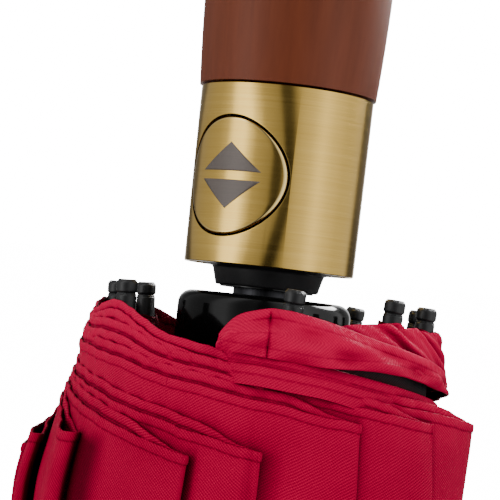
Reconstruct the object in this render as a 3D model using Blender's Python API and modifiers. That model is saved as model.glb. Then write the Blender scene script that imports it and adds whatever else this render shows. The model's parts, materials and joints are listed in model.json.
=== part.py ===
"""A three-fold umbrella with a wooden handle, folded shut and standing on the end of its handle.

+Z runs up the shaft from the handle to the ferrule. The origin is the centre of the handle's end face.
Driving dimensions are in millimetres, and mm() turns them into Blender's metres. An outline is a list
of (radius, height) points. A rib is drawn in its own plane, as (distance from the shaft, height).
"""

import math

import bmesh
import bpy
from mathutils import Matrix, Vector

# ---- driving dimensions, in millimetres ----

WOOD_TOP = 64.0  # where the wooden handle meets the collar
COLLAR_TOP = 95.2
COLLAR_R_LOW, COLLAR_R_HIGH = 15.2, 14.9
COLLAR_WALL = 0.9
WOOD_R_END, WOOD_R_MAX, WOOD_R_COLLAR = 14.6, 16.4, 15.6
WOOD_BORE_R = 10.0
CORE_R = 9.6
CORE_POCKET_FLOOR = 7.1  # how far from the shaft's axis the button's pocket stops
BUTTON_ANGLE = -53.4  # azimuth in degrees
BUTTON_Z = 80.3
BUTTON_R = 10.0
BUTTON_HOLE_R = 10.4
BUTTON_TRAVEL = 2.5
BUTTON_BACK_R = 13.0
LEVER_PIVOT_OUT, LEVER_PIVOT_Z = 9.3, 92.0
LEVER_TIP_OUT, LEVER_TIP_Z = 11.9, 84.6
NECK_TOP = 98.7
NECK_R_LOW, NECK_R_HIGH = 9.85, 9.0

OUTER_TUBE_R, MIDDLE_TUBE_R, INNER_TUBE_R = 5.8, 4.95, 4.1
TUBE_WALL = 0.5
OUTER_TUBE_SPAN = (30.0, 252.0)
MIDDLE_TUBE_SPAN = (34.0, 256.0)
INNER_TUBE_SPAN = (38.0, 277.0)
TUBE_TRAVEL = 150.0  # of the middle tube in the outer one, and of the inner tube in the middle one

RIB_COUNT = 8
FIRST_RIB_ANGLE = 98.8  # azimuth of rib 1 in degrees
CROWN_PIVOT_R, CROWN_PIVOT_Z = 9.0, 272.0
KNEE_R, KNEE_Z = 17.0, 121.0  # top rib to middle rib
ELBOW_R, ELBOW_Z = 21.0, 266.0  # middle rib to tip rib
STRUT_DOWN_RIB = 60.0  # crown pivot to strut joint, along the top rib
STRUT_LENGTH = 90.0
RUNNER_PIVOT_R = 9.0
TIP_R = 27.0
# Each tip's azimuth in degrees and the height of its free end: folded tips never gather evenly.
TIP_ANGLES = (129.2, 167.0, 186.0, 216.6, 259.65, 330.3, 372.0, 395.3)
TIP_HEIGHTS = (100.0, 99.5, 98.9, 98.35, 98.65, 99.75, 100.0, 99.55)
TIP_BULGES = (0.0, 1.3, 1.3, 0.0, 0.0, 0.0, 0.0, 0.0)  # how far each tip springs out past TIP_R
TIP_CAP_LENGTH = 8.0
OPEN_TOP, OPEN_MIDDLE, OPEN_TIP = 82.0, 74.0, 62.0  # open rib angles from straight down, in degrees

RIB_WIDTH, RIB_DEPTH, RIB_WALL = 2.4, 2.8, 0.45
RIB_SIDE_STEP = 2.8  # middle ribs and struts lie this far to either side of their top rib
RIVET_R, RIVET_HOLE_R = 0.6, 1.05
TIP_ROD_R = 1.0
RING_WIRE_R = 0.4

CUP_FLOOR_Z, CUP_TOP_Z, CUP_R, CUP_WALL = 100.1, 118.0, 15.2, 1.2
# ---- end of the driving dimensions ----

COLOURS = {
    "wood": ((0.165, 0.036, 0.014), 0.32, 0.0),
    "brass": ((0.60, 0.44, 0.20), 0.28, 1.0),
    "black_plastic": ((0.012, 0.012, 0.013), 0.35, 0.0),
    "dark_steel": ((0.08, 0.08, 0.085), 0.35, 1.0),
    "steel": ((0.55, 0.55, 0.56), 0.3, 1.0),
    "cloth": ((0.50, 0.004, 0.035), 0.7, 0.0),
    "cord": ((0.6, 0.6, 0.58), 0.8, 0.0),
}


def mm(value):
    return value * 0.001


def start_scene():
    for old in list(bpy.data.objects):
        bpy.data.objects.remove(old)
    part = bpy.data.collections.new("folding_umbrella")
    cutters = bpy.data.collections.new("cutters")
    cutters.hide_render = True
    for made in (part, cutters):
        bpy.context.scene.collection.children.link(made)
    return part, cutters


PART, CUTTERS = start_scene()
MATERIALS = {}


def material(slot):
    if slot not in MATERIALS:
        colour, roughness, metallic = COLOURS[slot]
        made = bpy.data.materials.new(slot)
        made.use_nodes = True
        shader = made.node_tree.nodes["Principled BSDF"]
        shader.inputs["Base Color"].default_value = (*colour, 1.0)
        shader.inputs["Roughness"].default_value = roughness
        shader.inputs["Metallic"].default_value = metallic
        MATERIALS[slot] = made
    return MATERIALS[slot]


def add(name, mesh, slot=None, matrix=None):
    """A named part, or a cutter when it has no material slot."""
    made = bpy.data.objects.new(name, mesh)
    if slot:
        PART.objects.link(made)
        if not mesh.materials:
            mesh.materials.append(material(slot))
    else:
        CUTTERS.objects.link(made)
        made.hide_render = True
        made.display_type = "WIRE"
    if matrix:
        made.matrix_world = matrix
    return made


def boolean(target, tool, operation="DIFFERENCE"):
    step = target.modifiers.new(operation.lower(), "BOOLEAN")
    step.operation = operation
    step.object = tool
    return target


def baked(source, name, sharp_angle=35.0):
    """The evaluated mesh of an object, in its own coordinates, and the object is removed."""
    bpy.context.view_layer.update()
    graph = bpy.context.evaluated_depsgraph_get()
    mesh = bpy.data.meshes.new_from_object(source.evaluated_get(graph))
    mesh.name = name
    mesh.materials.clear()
    shape = bmesh.new()
    shape.from_mesh(mesh)
    bmesh.ops.remove_doubles(shape, verts=shape.verts, dist=1e-7)
    bmesh.ops.dissolve_degenerate(shape, edges=shape.edges, dist=1e-7)
    shape.to_mesh(mesh)
    shape.free()
    mesh.shade_smooth()
    mesh.set_sharp_from_angle(angle=math.radians(sharp_angle))
    bpy.data.objects.remove(source)
    return mesh


def turned_mesh(name, outline, steps, z_shift=0.0):
    """A turned solid. The outline is a closed loop: down its outer side, then back up its bore."""
    mesh = bpy.data.meshes.new(name)
    points = [(mm(r), 0.0, mm(z + z_shift)) for r, z in outline]
    closed = outline[0][0] > 0 or outline[-1][0] > 0
    count = len(points)
    edges = [(i, i + 1) for i in range(count - 1)] + ([(count - 1, 0)] if closed else [])
    mesh.from_pydata(points, edges, [])
    blank = add(name + "_outline", mesh)
    screw = blank.modifiers.new("turn", "SCREW")
    screw.steps = screw.render_steps = steps
    screw.use_merge_vertices = True
    screw.merge_threshold = 1e-6
    return baked(blank, name)


def turned(name, slot, outline, steps=40):
    return add(name, turned_mesh(name, outline, steps), slot)


def tube_outline(outer_r, inner_r, low, high):
    return [(outer_r, high), (outer_r, low), (inner_r, low), (inner_r, high)]


def cylinder_mesh(name, radius, length, sides=24):
    """A cylinder from the origin along +X."""
    mesh = bpy.data.meshes.new(name)
    shape = bmesh.new()
    turn = Matrix.Translation((mm(length) / 2, 0, 0)) @ Matrix.Rotation(math.pi / 2, 4, "Y")
    bmesh.ops.create_cone(
        shape,
        cap_ends=True,
        segments=sides,
        radius1=mm(radius),
        radius2=mm(radius),
        depth=mm(length),
        matrix=turn,
    )
    shape.to_mesh(mesh)
    shape.free()
    return mesh


def box_mesh(name, low, high):
    """A box between two corners."""
    mesh = bpy.data.meshes.new(name)
    shape = bmesh.new()
    size = [mm(b - a) for a, b in zip(low, high)]
    middle = [mm(a + b) / 2 for a, b in zip(low, high)]
    place = Matrix.Translation(middle) @ Matrix.Diagonal((*size, 1.0))
    bmesh.ops.create_cube(shape, size=1.0, matrix=place)
    shape.to_mesh(mesh)
    shape.free()
    return mesh


def about_shaft(angle):
    return Matrix.Rotation(math.radians(angle), 4, "Z")


def wire_mesh(name, points, radius, closed=False):
    """A round wire through points, given in millimetres."""
    curve = bpy.data.curves.new(name, "CURVE")
    curve.dimensions = "3D"
    line = curve.splines.new("POLY")
    line.points.add(len(points) - 1)
    for spot, xyz in zip(line.points, points):
        spot.co = (mm(xyz[0]), mm(xyz[1]), mm(xyz[2]), 1.0)
    line.use_cyclic_u = closed
    curve.bevel_depth = mm(radius)
    curve.bevel_resolution = 1
    curve.use_fill_caps = not closed
    blank = bpy.data.objects.new(name, curve)
    CUTTERS.objects.link(blank)
    return baked(blank, name, 60.0)


def coil(radius, low, high, turns, per_turn=10):
    """Points of a helix about +Z."""
    count = turns * per_turn
    found = []
    for i in range(count + 1):
        angle = 2 * math.pi * i / per_turn
        height = low + (high - low) * i / count
        found.append((radius * math.cos(angle), radius * math.sin(angle), height))
    return found


# ---- handle ----


def make_handle():
    grip_side = []
    for i in range(9):
        share = i / 8
        swell = math.sin(math.pi * (1 - share) ** 1.35) ** 0.9 if 0 < share < 1 else 0.0
        base = WOOD_R_COLLAR + (WOOD_R_END + 1.6 - WOOD_R_COLLAR) * share
        grip_side.append((base + (WOOD_R_MAX - WOOD_R_COLLAR) * swell, WOOD_TOP - (WOOD_TOP - 2.4) * share))
    foot = [(WOOD_R_END + 1.2, 0.9), (WOOD_R_END, 0.0)]
    bore = [(8.3, 0.0), (8.3, 4.0), (4.2, 4.0), (4.2, 8.0), (WOOD_BORE_R, 8.0), (WOOD_BORE_R, WOOD_TOP)]
    turned("handle_grip", "wood", grip_side + foot + bore, 40)
    plate = [(0.0, 2.0), (7.6, 2.0), (8.0, 1.6), (8.0, 0.4), (7.6, 0.0), (0.0, 0.0)]
    turned("end_cap", "brass", plate, 32)
    screw = [(0.0, 22.0), (1.7, 22.0), (2.0, 21.4), (2.0, 7.8), (2.0, 6.9), (3.6, 6.6)]
    screw += [(3.6, 4.6), (3.0, 4.3), (0.0, 4.3)]
    turned("handle_screw", "steel", screw, 16)


def make_core():
    """The moulded core that the wooden handle and the collar slide over. It holds the outer tube."""
    top = COLLAR_TOP - 2.6
    outline = [(CORE_R, top), (CORE_R, 8.3), (2.3, 8.3), (2.3, 29.6), (6.1, 29.6), (6.1, top)]
    core = add("core_blank", turned_mesh("core_blank", outline, 40))
    aim = about_shaft(BUTTON_ANGLE)
    pocket = add("core_pocket", cylinder_mesh("core_pocket", 4.3, 10.0, 24))
    pocket.matrix_world = aim @ Matrix.Translation((mm(CORE_POCKET_FLOOR), 0, mm(BUTTON_Z)))
    slot = add("lever_slot", box_mesh("lever_slot", (7.4, -2.6, 82.6), (14.0, 2.6, 96.0)), matrix=aim)
    boolean(boolean(core, pocket), slot)
    add("handle_core", baked(core, "handle_core"), "black_plastic")


def make_collar():
    wall = COLLAR_WALL
    low, high = WOOD_TOP + 0.3, COLLAR_TOP
    outline = [
        (COLLAR_R_HIGH - 0.35, high),
        (COLLAR_R_HIGH, high - 0.35),
        (COLLAR_R_LOW, low + 0.35),
        (COLLAR_R_LOW - 0.35, low),
        (COLLAR_R_LOW - wall, low),
        (COLLAR_R_HIGH - wall, high),
    ]
    collar = add("collar_blank", turned_mesh("collar_blank", outline, 64))
    hole = add("button_hole", cylinder_mesh("button_hole", BUTTON_HOLE_R, 20.0, 40))
    hole.matrix_world = about_shaft(BUTTON_ANGLE) @ Matrix.Translation((0, 0, mm(BUTTON_Z)))
    boolean(collar, hole)
    add("collar", baked(collar, "collar"), "brass")


def make_button():
    """A round button whose face follows the collar's curve. Its origin is on its line of travel."""
    face_r = COLLAR_R_LOW - 0.1
    shell = tube_outline(face_r, BUTTON_BACK_R, -14.0, 14.0)
    button = add("button_blank", turned_mesh("button_blank", shell, 96))
    disc = add("button_disc", cylinder_mesh("button_disc", BUTTON_R, 20.0, 40))
    boolean(button, disc, "INTERSECT")
    mesh = baked(button, "push_button")
    place = about_shaft(BUTTON_ANGLE) @ Matrix.Translation((0, 0, mm(BUTTON_Z)))
    add("push_button", mesh, "brass", place)
    spring = wire_mesh("button_spring", coil(3.0, CORE_POCKET_FLOOR + 0.7, BUTTON_BACK_R - 0.7, 3, 10), 0.3)
    spring.transform(Matrix.Rotation(math.pi / 2, 4, "Y"))
    add("button_spring", spring, "steel", place)


def make_lever():
    """The latch lever that the button tips inwards. Its origin is on its pivot."""
    run = Vector((LEVER_TIP_OUT - LEVER_PIVOT_OUT, 0, LEVER_TIP_Z - LEVER_PIVOT_Z))
    bar = add("lever_bar", box_mesh("lever_bar", (0, -1.6, -0.45), (run.length, 1.6, 0.45)))
    hook = add("lever_hook", box_mesh("lever_hook", (run.length - 1.2, -1.6, -1.3), (run.length, 1.6, 0.0)))
    barrel = add("lever_barrel", cylinder_mesh("lever_barrel", 0.9, 4.2, 16))
    barrel.matrix_world = Matrix.Translation((0, mm(-2.1), 0)) @ Matrix.Rotation(math.pi / 2, 4, "Z")
    boolean(boolean(bar, hook, "UNION"), barrel, "UNION")
    lean = Matrix.Rotation(math.atan2(-run.z, run.x), 4, "Y")
    mesh = baked(bar, "latch_lever")
    mesh.transform(lean)
    pivot = Matrix.Translation((mm(LEVER_PIVOT_OUT), 0, mm(LEVER_PIVOT_Z)))
    add("latch_lever", mesh, "steel", about_shaft(BUTTON_ANGLE) @ pivot)


def make_neck():
    low = COLLAR_TOP - 2.3
    inner = OUTER_TUBE_R + 0.3
    outline = [
        (NECK_R_HIGH - 0.4, NECK_TOP),
        (NECK_R_HIGH, NECK_TOP - 0.4),
        (NECK_R_LOW, COLLAR_TOP + 0.35),
        (13.6, COLLAR_TOP - 0.4),
        (13.6, low),
        (inner, low),
        (inner, NECK_TOP),
    ]
    turned("neck_bush", "black_plastic", outline, 40)


# ---- shaft ----


def make_shaft():
    for name, radius, span, slot in (
        ("outer_tube", OUTER_TUBE_R, OUTER_TUBE_SPAN, "dark_steel"),
        ("middle_tube", MIDDLE_TUBE_R, MIDDLE_TUBE_SPAN, "steel"),
        ("inner_tube", INNER_TUBE_R, INNER_TUBE_SPAN, "steel"),
    ):
        turned(name, slot, tube_outline(radius, radius - TUBE_WALL, *span), 28)
    spring = wire_mesh("drive_spring", coil(2.85, 42.0, 262.0, 22, 8), 0.42)
    add("drive_spring", spring, "steel")
    cord = cylinder_mesh("pull_cord", 0.6, 226.0, 8)
    stand = Matrix.Translation((0, 0, mm(40.0))) @ Matrix.Rotation(-math.pi / 2, 4, "Y")
    add("pull_cord", cord, "cord", stand)
    pulley = [(2.4, 1.2), (1.7, 0.5), (1.7, -0.5), (2.4, -1.2), (0.8, -1.2), (0.8, 1.2)]
    lay = Matrix.Translation((0, 0, mm(34.6))) @ Matrix.Rotation(math.pi / 2, 4, "X")
    add("cord_pulley", turned_mesh("cord_pulley", pulley, 20), "black_plastic", lay)


def notch_slots(target, pivot_z, reach, side, floor_r, depth):
    """Cuts one radial slot for each rib into a hub, open at its rim and through its thickness."""
    half = RIB_WIDTH / 2 + 0.35
    for k in range(RIB_COUNT):
        low = (floor_r, side - half, pivot_z - depth)
        high = (reach, side + half, pivot_z + depth)
        cutter = add(f"{target.name}_slot_{k + 1}", box_mesh("hub_slot", low, high))
        cutter.matrix_world = about_shaft(rib_angle(k))
        boolean(target, cutter)
    return target


def make_crown():
    """The upper notch, with a groove for the wire ring that the top ribs turn on."""
    z = CROWN_PIVOT_Z
    bore = INNER_TUBE_R + 0.3
    outline = [
        (6.6, z + 4.0),
        (6.6, z - 1.0),
        (7.9, z - 1.0),
        (7.9, z - 2.6),
        (11.0, z - 2.6),
        (11.0, z - 4.6),
        (7.0, z - 7.0),
        (bore, z - 7.0),
        (bore, z + 4.0),
    ]
    crown = add("crown_blank", turned_mesh("crown_blank", outline, 40))
    notch_slots(crown, z, 14.0, 0.0, 7.2, 12.0)
    add("crown", baked(crown, "crown"), "black_plastic")
    add("crown_ring", ring_mesh("crown_ring", CROWN_PIVOT_R, z), "steel")


def ring_mesh(name, radius, height):
    points = []
    for i in range(32):
        angle = 2 * math.pi * i / 32
        points.append((radius * math.cos(angle), radius * math.sin(angle), height))
    return wire_mesh(name, points, RING_WIRE_R, closed=True)


def make_ferrule():
    z = CROWN_PIVOT_Z + 5.6
    outline = [
        (0.0, z + 14.0),
        (2.6, z + 14.0),
        (3.6, z + 13.2),
        (4.0, z + 11.6),
        (4.4, z + 6.0),
        (10.4, z + 3.6),
        (11.6, z + 2.4),
        (12.0, z + 0.6),
        (11.8, z),
        (0.0, z),
    ]
    turned("ferrule", "black_plastic", outline, 40)


def runner_z():
    """Height of the runner's pivots when the umbrella is shut."""
    lean = math.atan2(KNEE_R - CROWN_PIVOT_R, CROWN_PIVOT_Z - KNEE_Z)
    joint_r = CROWN_PIVOT_R + STRUT_DOWN_RIB * math.sin(lean)
    joint_z = CROWN_PIVOT_Z - STRUT_DOWN_RIB * math.cos(lean)
    return joint_z - math.sqrt(STRUT_LENGTH**2 - (joint_r - RUNNER_PIVOT_R) ** 2)


def make_runner():
    z = runner_z()
    bore = OUTER_TUBE_R + 0.3
    outline = [
        (7.1, z + 4.2),
        (7.1, z - 1.0),
        (8.0, z - 1.0),
        (8.0, z - 1.9),
        (11.4, z - 1.9),
        (11.4, z - 3.4),
        (7.1, z - 3.4),
        (7.1, CUP_FLOOR_Z + 0.4),
        (bore, CUP_FLOOR_Z + 0.4),
        (bore, z + 4.2),
    ]
    runner = add("runner_blank", turned_mesh("runner_blank", outline, 40))
    notch_slots(runner, z, 14.0, -RIB_SIDE_STEP, 7.35, 3.0)
    add("runner", baked(runner, "runner"), "black_plastic")
    ring_r = math.hypot(RUNNER_PIVOT_R, RIB_SIDE_STEP)
    add("runner_ring", ring_mesh("runner_ring", ring_r, z), "steel")
    low, high, wall = CUP_FLOOR_Z, CUP_TOP_Z, CUP_WALL
    side = []
    for i in range(5):
        turn = math.radians(22.5 * i)
        side.append((CUP_R - 2.4 + 2.4 * math.cos(turn), low + 2.4 - 2.4 * math.sin(turn)))
    inside = [(7.4, low), (7.4, low + wall), (CUP_R - 2.6, low + wall), (CUP_R - wall, low + 2.6)]
    outline = [(CUP_R - wall * 0.5, high), (CUP_R, high - 0.6)] + side + inside + [(CUP_R - wall, high)]
    turned("runner_cup", "black_plastic", outline, 48)


# ---- ribs ----


def rib_angle(k):
    return FIRST_RIB_ANGLE + 360.0 / RIB_COUNT * k


def rib_point(along, height, side=0.0):
    return Vector((mm(along), mm(side), mm(height)))


def channel_mesh(name, length, holes, rivets):
    """A pressed channel along +X from its first pivot, open towards +Z, with rivet holes and rivets.

    holes and rivets are distances from the first pivot. Each rivet reaches out of the -Y side.
    """
    w, d = RIB_WIDTH / 2, RIB_DEPTH / 2
    bar = add(name + "_bar", box_mesh(name + "_bar", (-d, -w, -d), (length + d, w, d)))
    trough = (length + d + 1, w - RIB_WALL, d + 1)
    cut = add(name + "_trough", box_mesh(name + "_trough", (-d - 1, -w + RIB_WALL, -d + RIB_WALL), trough))
    boolean(bar, cut)
    quarter = Matrix.Rotation(math.pi / 2, 4, "Z")
    for i, at in enumerate(holes):
        drill = add(f"{name}_drill_{i}", cylinder_mesh("drill", RIVET_HOLE_R, RIB_WIDTH + 4, 10))
        drill.matrix_world = Matrix.Translation((mm(at), mm(-RIB_WIDTH / 2 - 2), 0)) @ quarter
        boolean(bar, drill)
    for i, at in enumerate(rivets):
        start = -w - RIB_SIDE_STEP + 0.3
        length_y = RIB_WIDTH + RIB_SIDE_STEP - 0.3 - RIB_WALL / 2
        pin = add(f"{name}_rivet_{i}", cylinder_mesh("rivet", RIVET_R, length_y, 10))
        pin.matrix_world = Matrix.Translation((mm(at), mm(start), 0)) @ quarter
        boolean(bar, pin, "UNION")
    return baked(bar, name)


def towards(start, end):
    """Places a mesh drawn along +X so that it runs from start to end in the rib's plane."""
    run = end - start
    pitch = math.atan2(-run.z, run.x)
    return Matrix.Translation(start) @ Matrix.Rotation(pitch, 4, "Y")


def make_ribs():
    crown = rib_point(CROWN_PIVOT_R, CROWN_PIVOT_Z)
    knee = rib_point(KNEE_R, KNEE_Z)
    elbow = rib_point(ELBOW_R, ELBOW_Z)
    top_run = knee - crown
    joint = crown + top_run.normalized() * mm(STRUT_DOWN_RIB)
    foot = rib_point(RUNNER_PIVOT_R, runner_z())
    side = Vector((0, mm(RIB_SIDE_STEP), 0))
    top_mesh = channel_mesh("top_rib", top_run.length / mm(1), (0.0, top_run.length / mm(1)), ())
    middle_length = (elbow - knee).length / mm(1)
    middle_mesh = channel_mesh("middle_rib", middle_length, (middle_length,), (0.0,))
    strut_mesh = channel_mesh("strut", STRUT_LENGTH, (0.0, STRUT_LENGTH), ())
    for k in range(RIB_COUNT):
        plane = about_shaft(rib_angle(k))
        add(f"top_rib_{k + 1}", top_mesh, "dark_steel", plane @ towards(crown, knee))
        up = towards(knee + side, elbow + side)
        add(f"middle_rib_{k + 1}", middle_mesh, "dark_steel", plane @ up)
        lift = towards(foot - side, joint - side)
        add(f"strut_{k + 1}", strut_mesh, "dark_steel", plane @ lift)
        make_tip_rib(k, elbow)


def make_tip_rib(k, elbow):
    """A round rod from the elbow to a moulded cap, sprung a little sideways, with its rivet."""
    tip_angle = math.radians(TIP_ANGLES[k] - rib_angle(k))
    straight = 45.0  # the rod leaves the elbow straight, beside its middle rib
    slope = (TIP_R - ELBOW_R) / (ELBOW_Z - TIP_HEIGHTS[k])
    bend = Vector((ELBOW_R + slope * straight, 0.0, ELBOW_Z - straight))
    reach = TIP_R + TIP_BULGES[k]
    end = Vector((reach * math.cos(tip_angle), reach * math.sin(tip_angle), TIP_HEIGHTS[k]))
    last = (end - bend).normalized()
    start = Vector((ELBOW_R, 0.0, ELBOW_Z))
    stop = end - last * (TIP_CAP_LENGTH - 2.0)
    points = [tuple(p - start) for p in (start + Vector((0, 0, 1.4)), bend, stop)]
    rod = add(f"tip_rod_{k + 1}", wire_mesh("tip_rod", points, TIP_ROD_R))
    cap = add(f"tip_cap_{k + 1}", turned_mesh("tip_cap", cap_outline(), 12))
    seat = (end - start) * 0.001
    cap.matrix_world = Matrix.Translation(seat) @ (-last).to_track_quat("Z", "Y").to_matrix().to_4x4()
    pin = add(f"tip_pin_{k + 1}", cylinder_mesh("tip_pin", RIVET_R, RIB_SIDE_STEP + 0.9, 10))
    pin.matrix_world = Matrix.Rotation(math.pi / 2, 4, "Z")
    boolean(boolean(rod, cap, "UNION"), pin, "UNION")
    name = f"tip_rib_{k + 1}"
    plane = about_shaft(rib_angle(k))
    add(name, baked(rod, name), "black_plastic", plane @ Matrix.Translation(rib_point(ELBOW_R, ELBOW_Z)))
    for used in (cap, pin):
        bpy.data.objects.remove(used)


def cap_outline():
    """The moulded cap on a rib's end: a rounded head, a groove and a body. Height 0 is its free end."""
    return [
        (0.0, TIP_CAP_LENGTH),
        (1.5, TIP_CAP_LENGTH),
        (1.68, TIP_CAP_LENGTH - 0.5),
        (1.68, 2.5),
        (1.42, 2.1),
        (1.76, 1.75),
        (1.76, 0.4),
        (1.4, 0.0),
        (0.0, 0.0),
    ]


# ---- canopy, folded ----


def half_shell(name, rings, side, wave=0.0):
    """Half of a folded sheet round the shaft, on one side of rib 1.

    rings are (height, inner radius, outer radius). wave lifts the outer face into overlapping folds.
    """
    shape = bmesh.new()
    per_half = 16
    gap = math.radians(1.2)
    loops = []
    for height, inner, outer in rings:
        row = []
        for i in range(per_half + 1):
            turn = gap + (math.pi - 2 * gap) * i / per_half
            angle = math.radians(FIRST_RIB_ANGLE) + side * turn
            swell = wave * (i % 4) / 3 if 0 < i < per_half else 0.0
            ray = Vector((math.cos(angle), math.sin(angle), 0))
            tall = Vector((0, 0, mm(height)))
            near, far = ray * mm(inner) + tall, ray * mm(outer + swell) + tall
            row.append((shape.verts.new(near), shape.verts.new(far)))
        loops.append(row)
    for low, high in zip(loops, loops[1:]):
        for i in range(per_half):
            shape.faces.new((low[i][0], low[i + 1][0], high[i + 1][0], high[i][0]))
            shape.faces.new((low[i + 1][1], low[i][1], high[i][1], high[i + 1][1]))
        for i in (0, per_half):
            shape.faces.new((low[i][1], low[i][0], high[i][0], high[i][1]))
    for row in (loops[0], loops[-1]):
        for a, b in zip(row, row[1:]):
            shape.faces.new((a[0], a[1], b[1], b[0]))
    bmesh.ops.recalc_face_normals(shape, faces=shape.faces)
    mesh = bpy.data.meshes.new(name)
    shape.to_mesh(mesh)
    shape.free()
    add(name, mesh, "cloth")


def make_canopy():
    """The cloth, folded in three with the ribs: each layer is a left and a right half from rib 1."""
    top_slope = (KNEE_R - CROWN_PIVOT_R) / (CROWN_PIVOT_Z - KNEE_Z)
    middle_slope = (ELBOW_R - KNEE_R) / (ELBOW_Z - KNEE_Z)
    layers = []
    for height in (196.0, 260.0):
        top_r = CROWN_PIVOT_R + (CROWN_PIVOT_Z - height) * top_slope
        middle_r = ELBOW_R - (ELBOW_Z - height) * middle_slope
        layers.append((height, top_r, middle_r))
    top_rings = [(z, top_r + 2.5, top_r + 3.1) for z, top_r, _ in layers]
    middle_rings = [(z, middle_r - 2.4, middle_r - 1.8) for z, _, middle_r in layers]
    tip_rings = [(107.4, 29.3, 31.2), (150.0, 28.8, 31.6), (250.0, 26.6, 30.6), (266.0, 26.0, 29.0)]
    for word, side in (("left", 1), ("right", -1)):
        half_shell(f"canopy_top_{word}", top_rings, side)
        half_shell(f"canopy_middle_{word}", middle_rings, side)
        half_shell(f"canopy_tip_{word}", tip_rings, side, 2.6)
    low, high = (35.2, -7.0, 112.0), (36.4, 7.0, 186.0)
    strap = box_mesh("tie_strap", low, high)
    add("tie_strap", strap, "cloth", about_shaft(FIRST_RIB_ANGLE + 22.5))


def main():
    make_handle()
    make_core()
    make_collar()
    make_button()
    make_lever()
    make_neck()
    make_shaft()
    make_crown()
    make_ferrule()
    make_runner()
    make_ribs()
    make_canopy()


main()
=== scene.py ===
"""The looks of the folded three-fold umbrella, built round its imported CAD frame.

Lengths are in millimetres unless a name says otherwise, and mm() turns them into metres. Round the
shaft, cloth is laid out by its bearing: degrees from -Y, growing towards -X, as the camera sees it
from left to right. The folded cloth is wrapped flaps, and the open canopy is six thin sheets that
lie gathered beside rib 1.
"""

import json
from collections import namedtuple
from math import asin, atan2, cos, degrees, exp, hypot, pi, radians, sin, sqrt

import bmesh
import bpy
import numpy as np
from mathutils import Matrix, Vector


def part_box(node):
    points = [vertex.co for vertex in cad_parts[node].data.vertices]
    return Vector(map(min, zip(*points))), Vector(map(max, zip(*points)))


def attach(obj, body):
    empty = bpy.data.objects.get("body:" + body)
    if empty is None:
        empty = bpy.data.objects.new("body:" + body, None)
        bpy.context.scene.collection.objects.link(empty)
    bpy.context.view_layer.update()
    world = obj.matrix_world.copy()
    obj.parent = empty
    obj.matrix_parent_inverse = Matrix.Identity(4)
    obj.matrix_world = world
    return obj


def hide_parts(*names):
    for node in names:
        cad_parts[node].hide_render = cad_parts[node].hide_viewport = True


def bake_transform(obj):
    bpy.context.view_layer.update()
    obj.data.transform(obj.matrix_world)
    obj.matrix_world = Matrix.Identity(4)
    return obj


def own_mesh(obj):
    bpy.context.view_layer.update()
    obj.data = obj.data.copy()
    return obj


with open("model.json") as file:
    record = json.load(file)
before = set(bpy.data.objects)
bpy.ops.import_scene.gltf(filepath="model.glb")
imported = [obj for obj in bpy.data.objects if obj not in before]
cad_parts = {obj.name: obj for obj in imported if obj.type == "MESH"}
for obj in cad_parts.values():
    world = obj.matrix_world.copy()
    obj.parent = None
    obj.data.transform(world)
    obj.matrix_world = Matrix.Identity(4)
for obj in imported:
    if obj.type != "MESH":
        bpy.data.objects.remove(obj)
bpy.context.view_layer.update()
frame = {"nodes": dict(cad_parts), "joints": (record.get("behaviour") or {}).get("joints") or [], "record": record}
NODES = frame["nodes"]
JOINTS = {j["name"]: j for j in frame["joints"]}
RIBS = range(1, 1 + sum(name.startswith("tip_rib_") for name in NODES))


def mm(value):
    return value * 0.001


# ---- mesh helpers


def linked(name, data):
    """A new object in the scene."""
    made = bpy.data.objects.new(name, data)
    bpy.context.scene.collection.objects.link(made)
    return made


def mesh_object(name, points, faces, look, smooth_angle=40.0):
    """A mesh from points in millimetres, in one of the looks."""
    mesh = bpy.data.meshes.new(name)
    faces = faces.tolist() if isinstance(faces, np.ndarray) else faces
    mesh.from_pydata((np.asarray(points, float) * 0.001).tolist(), [], faces)
    mesh.validate()
    mesh.shade_smooth()
    mesh.set_sharp_from_angle(angle=radians(smooth_angle))
    mesh.materials.append(LOOKS[look])
    return linked(name, mesh)


def quads(rows, cols, closed_rows=False, closed_cols=False, flip=False):
    """The faces between grid points that are numbered row by row."""
    index = np.arange(rows * cols).reshape(rows, cols)
    if closed_rows:
        index = np.vstack((index, index[:1]))
    if closed_cols:
        index = np.hstack((index, index[:, :1]))
    a, b, c, d = index[:-1, :-1], index[1:, :-1], index[1:, 1:], index[:-1, 1:]
    return np.stack((a, d, c, b) if flip else (a, b, c, d), axis=-1).reshape(-1, 4)


def circle(count):
    """Angles that go once round, in radians."""
    return [2 * pi * k / count for k in range(count)]


def rounded(outline, radius=0.4, steps=4):
    """An outline whose inner corners are rounded. Each point is (radius from the axis, height)."""
    found = [outline[0]]
    for before, corner, after in zip(outline, outline[1:], outline[2:]):
        b, c, a = (np.array(p, float) for p in (before, corner, after))
        cut = min(radius, np.linalg.norm(b - c) * 0.45, np.linalg.norm(a - c) * 0.45)
        start = c + (b - c) / max(np.linalg.norm(b - c), 1e-9) * cut
        end = c + (a - c) / max(np.linalg.norm(a - c), 1e-9) * cut
        for i in range(steps + 1):
            t = i / steps
            found.append(tuple(start * (1 - t) ** 2 + c * 2 * t * (1 - t) + end * t**2))
    found.append(outline[-1])
    return found


def lathe(name, outline, look, segments=96, closed=True):
    """A turned piece about +Z. The outline runs down its outer side."""
    turn = np.arange(segments) * 2 * pi / segments
    points = []
    for r, z in outline:
        points.append(np.column_stack((r * np.cos(turn), r * np.sin(turn), np.full(segments, z))))
    faces = quads(len(outline), segments, closed_rows=closed, closed_cols=True)
    made = mesh_object(name, np.vstack(points), faces, look, 50.0)
    weld(made)
    return made


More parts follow.
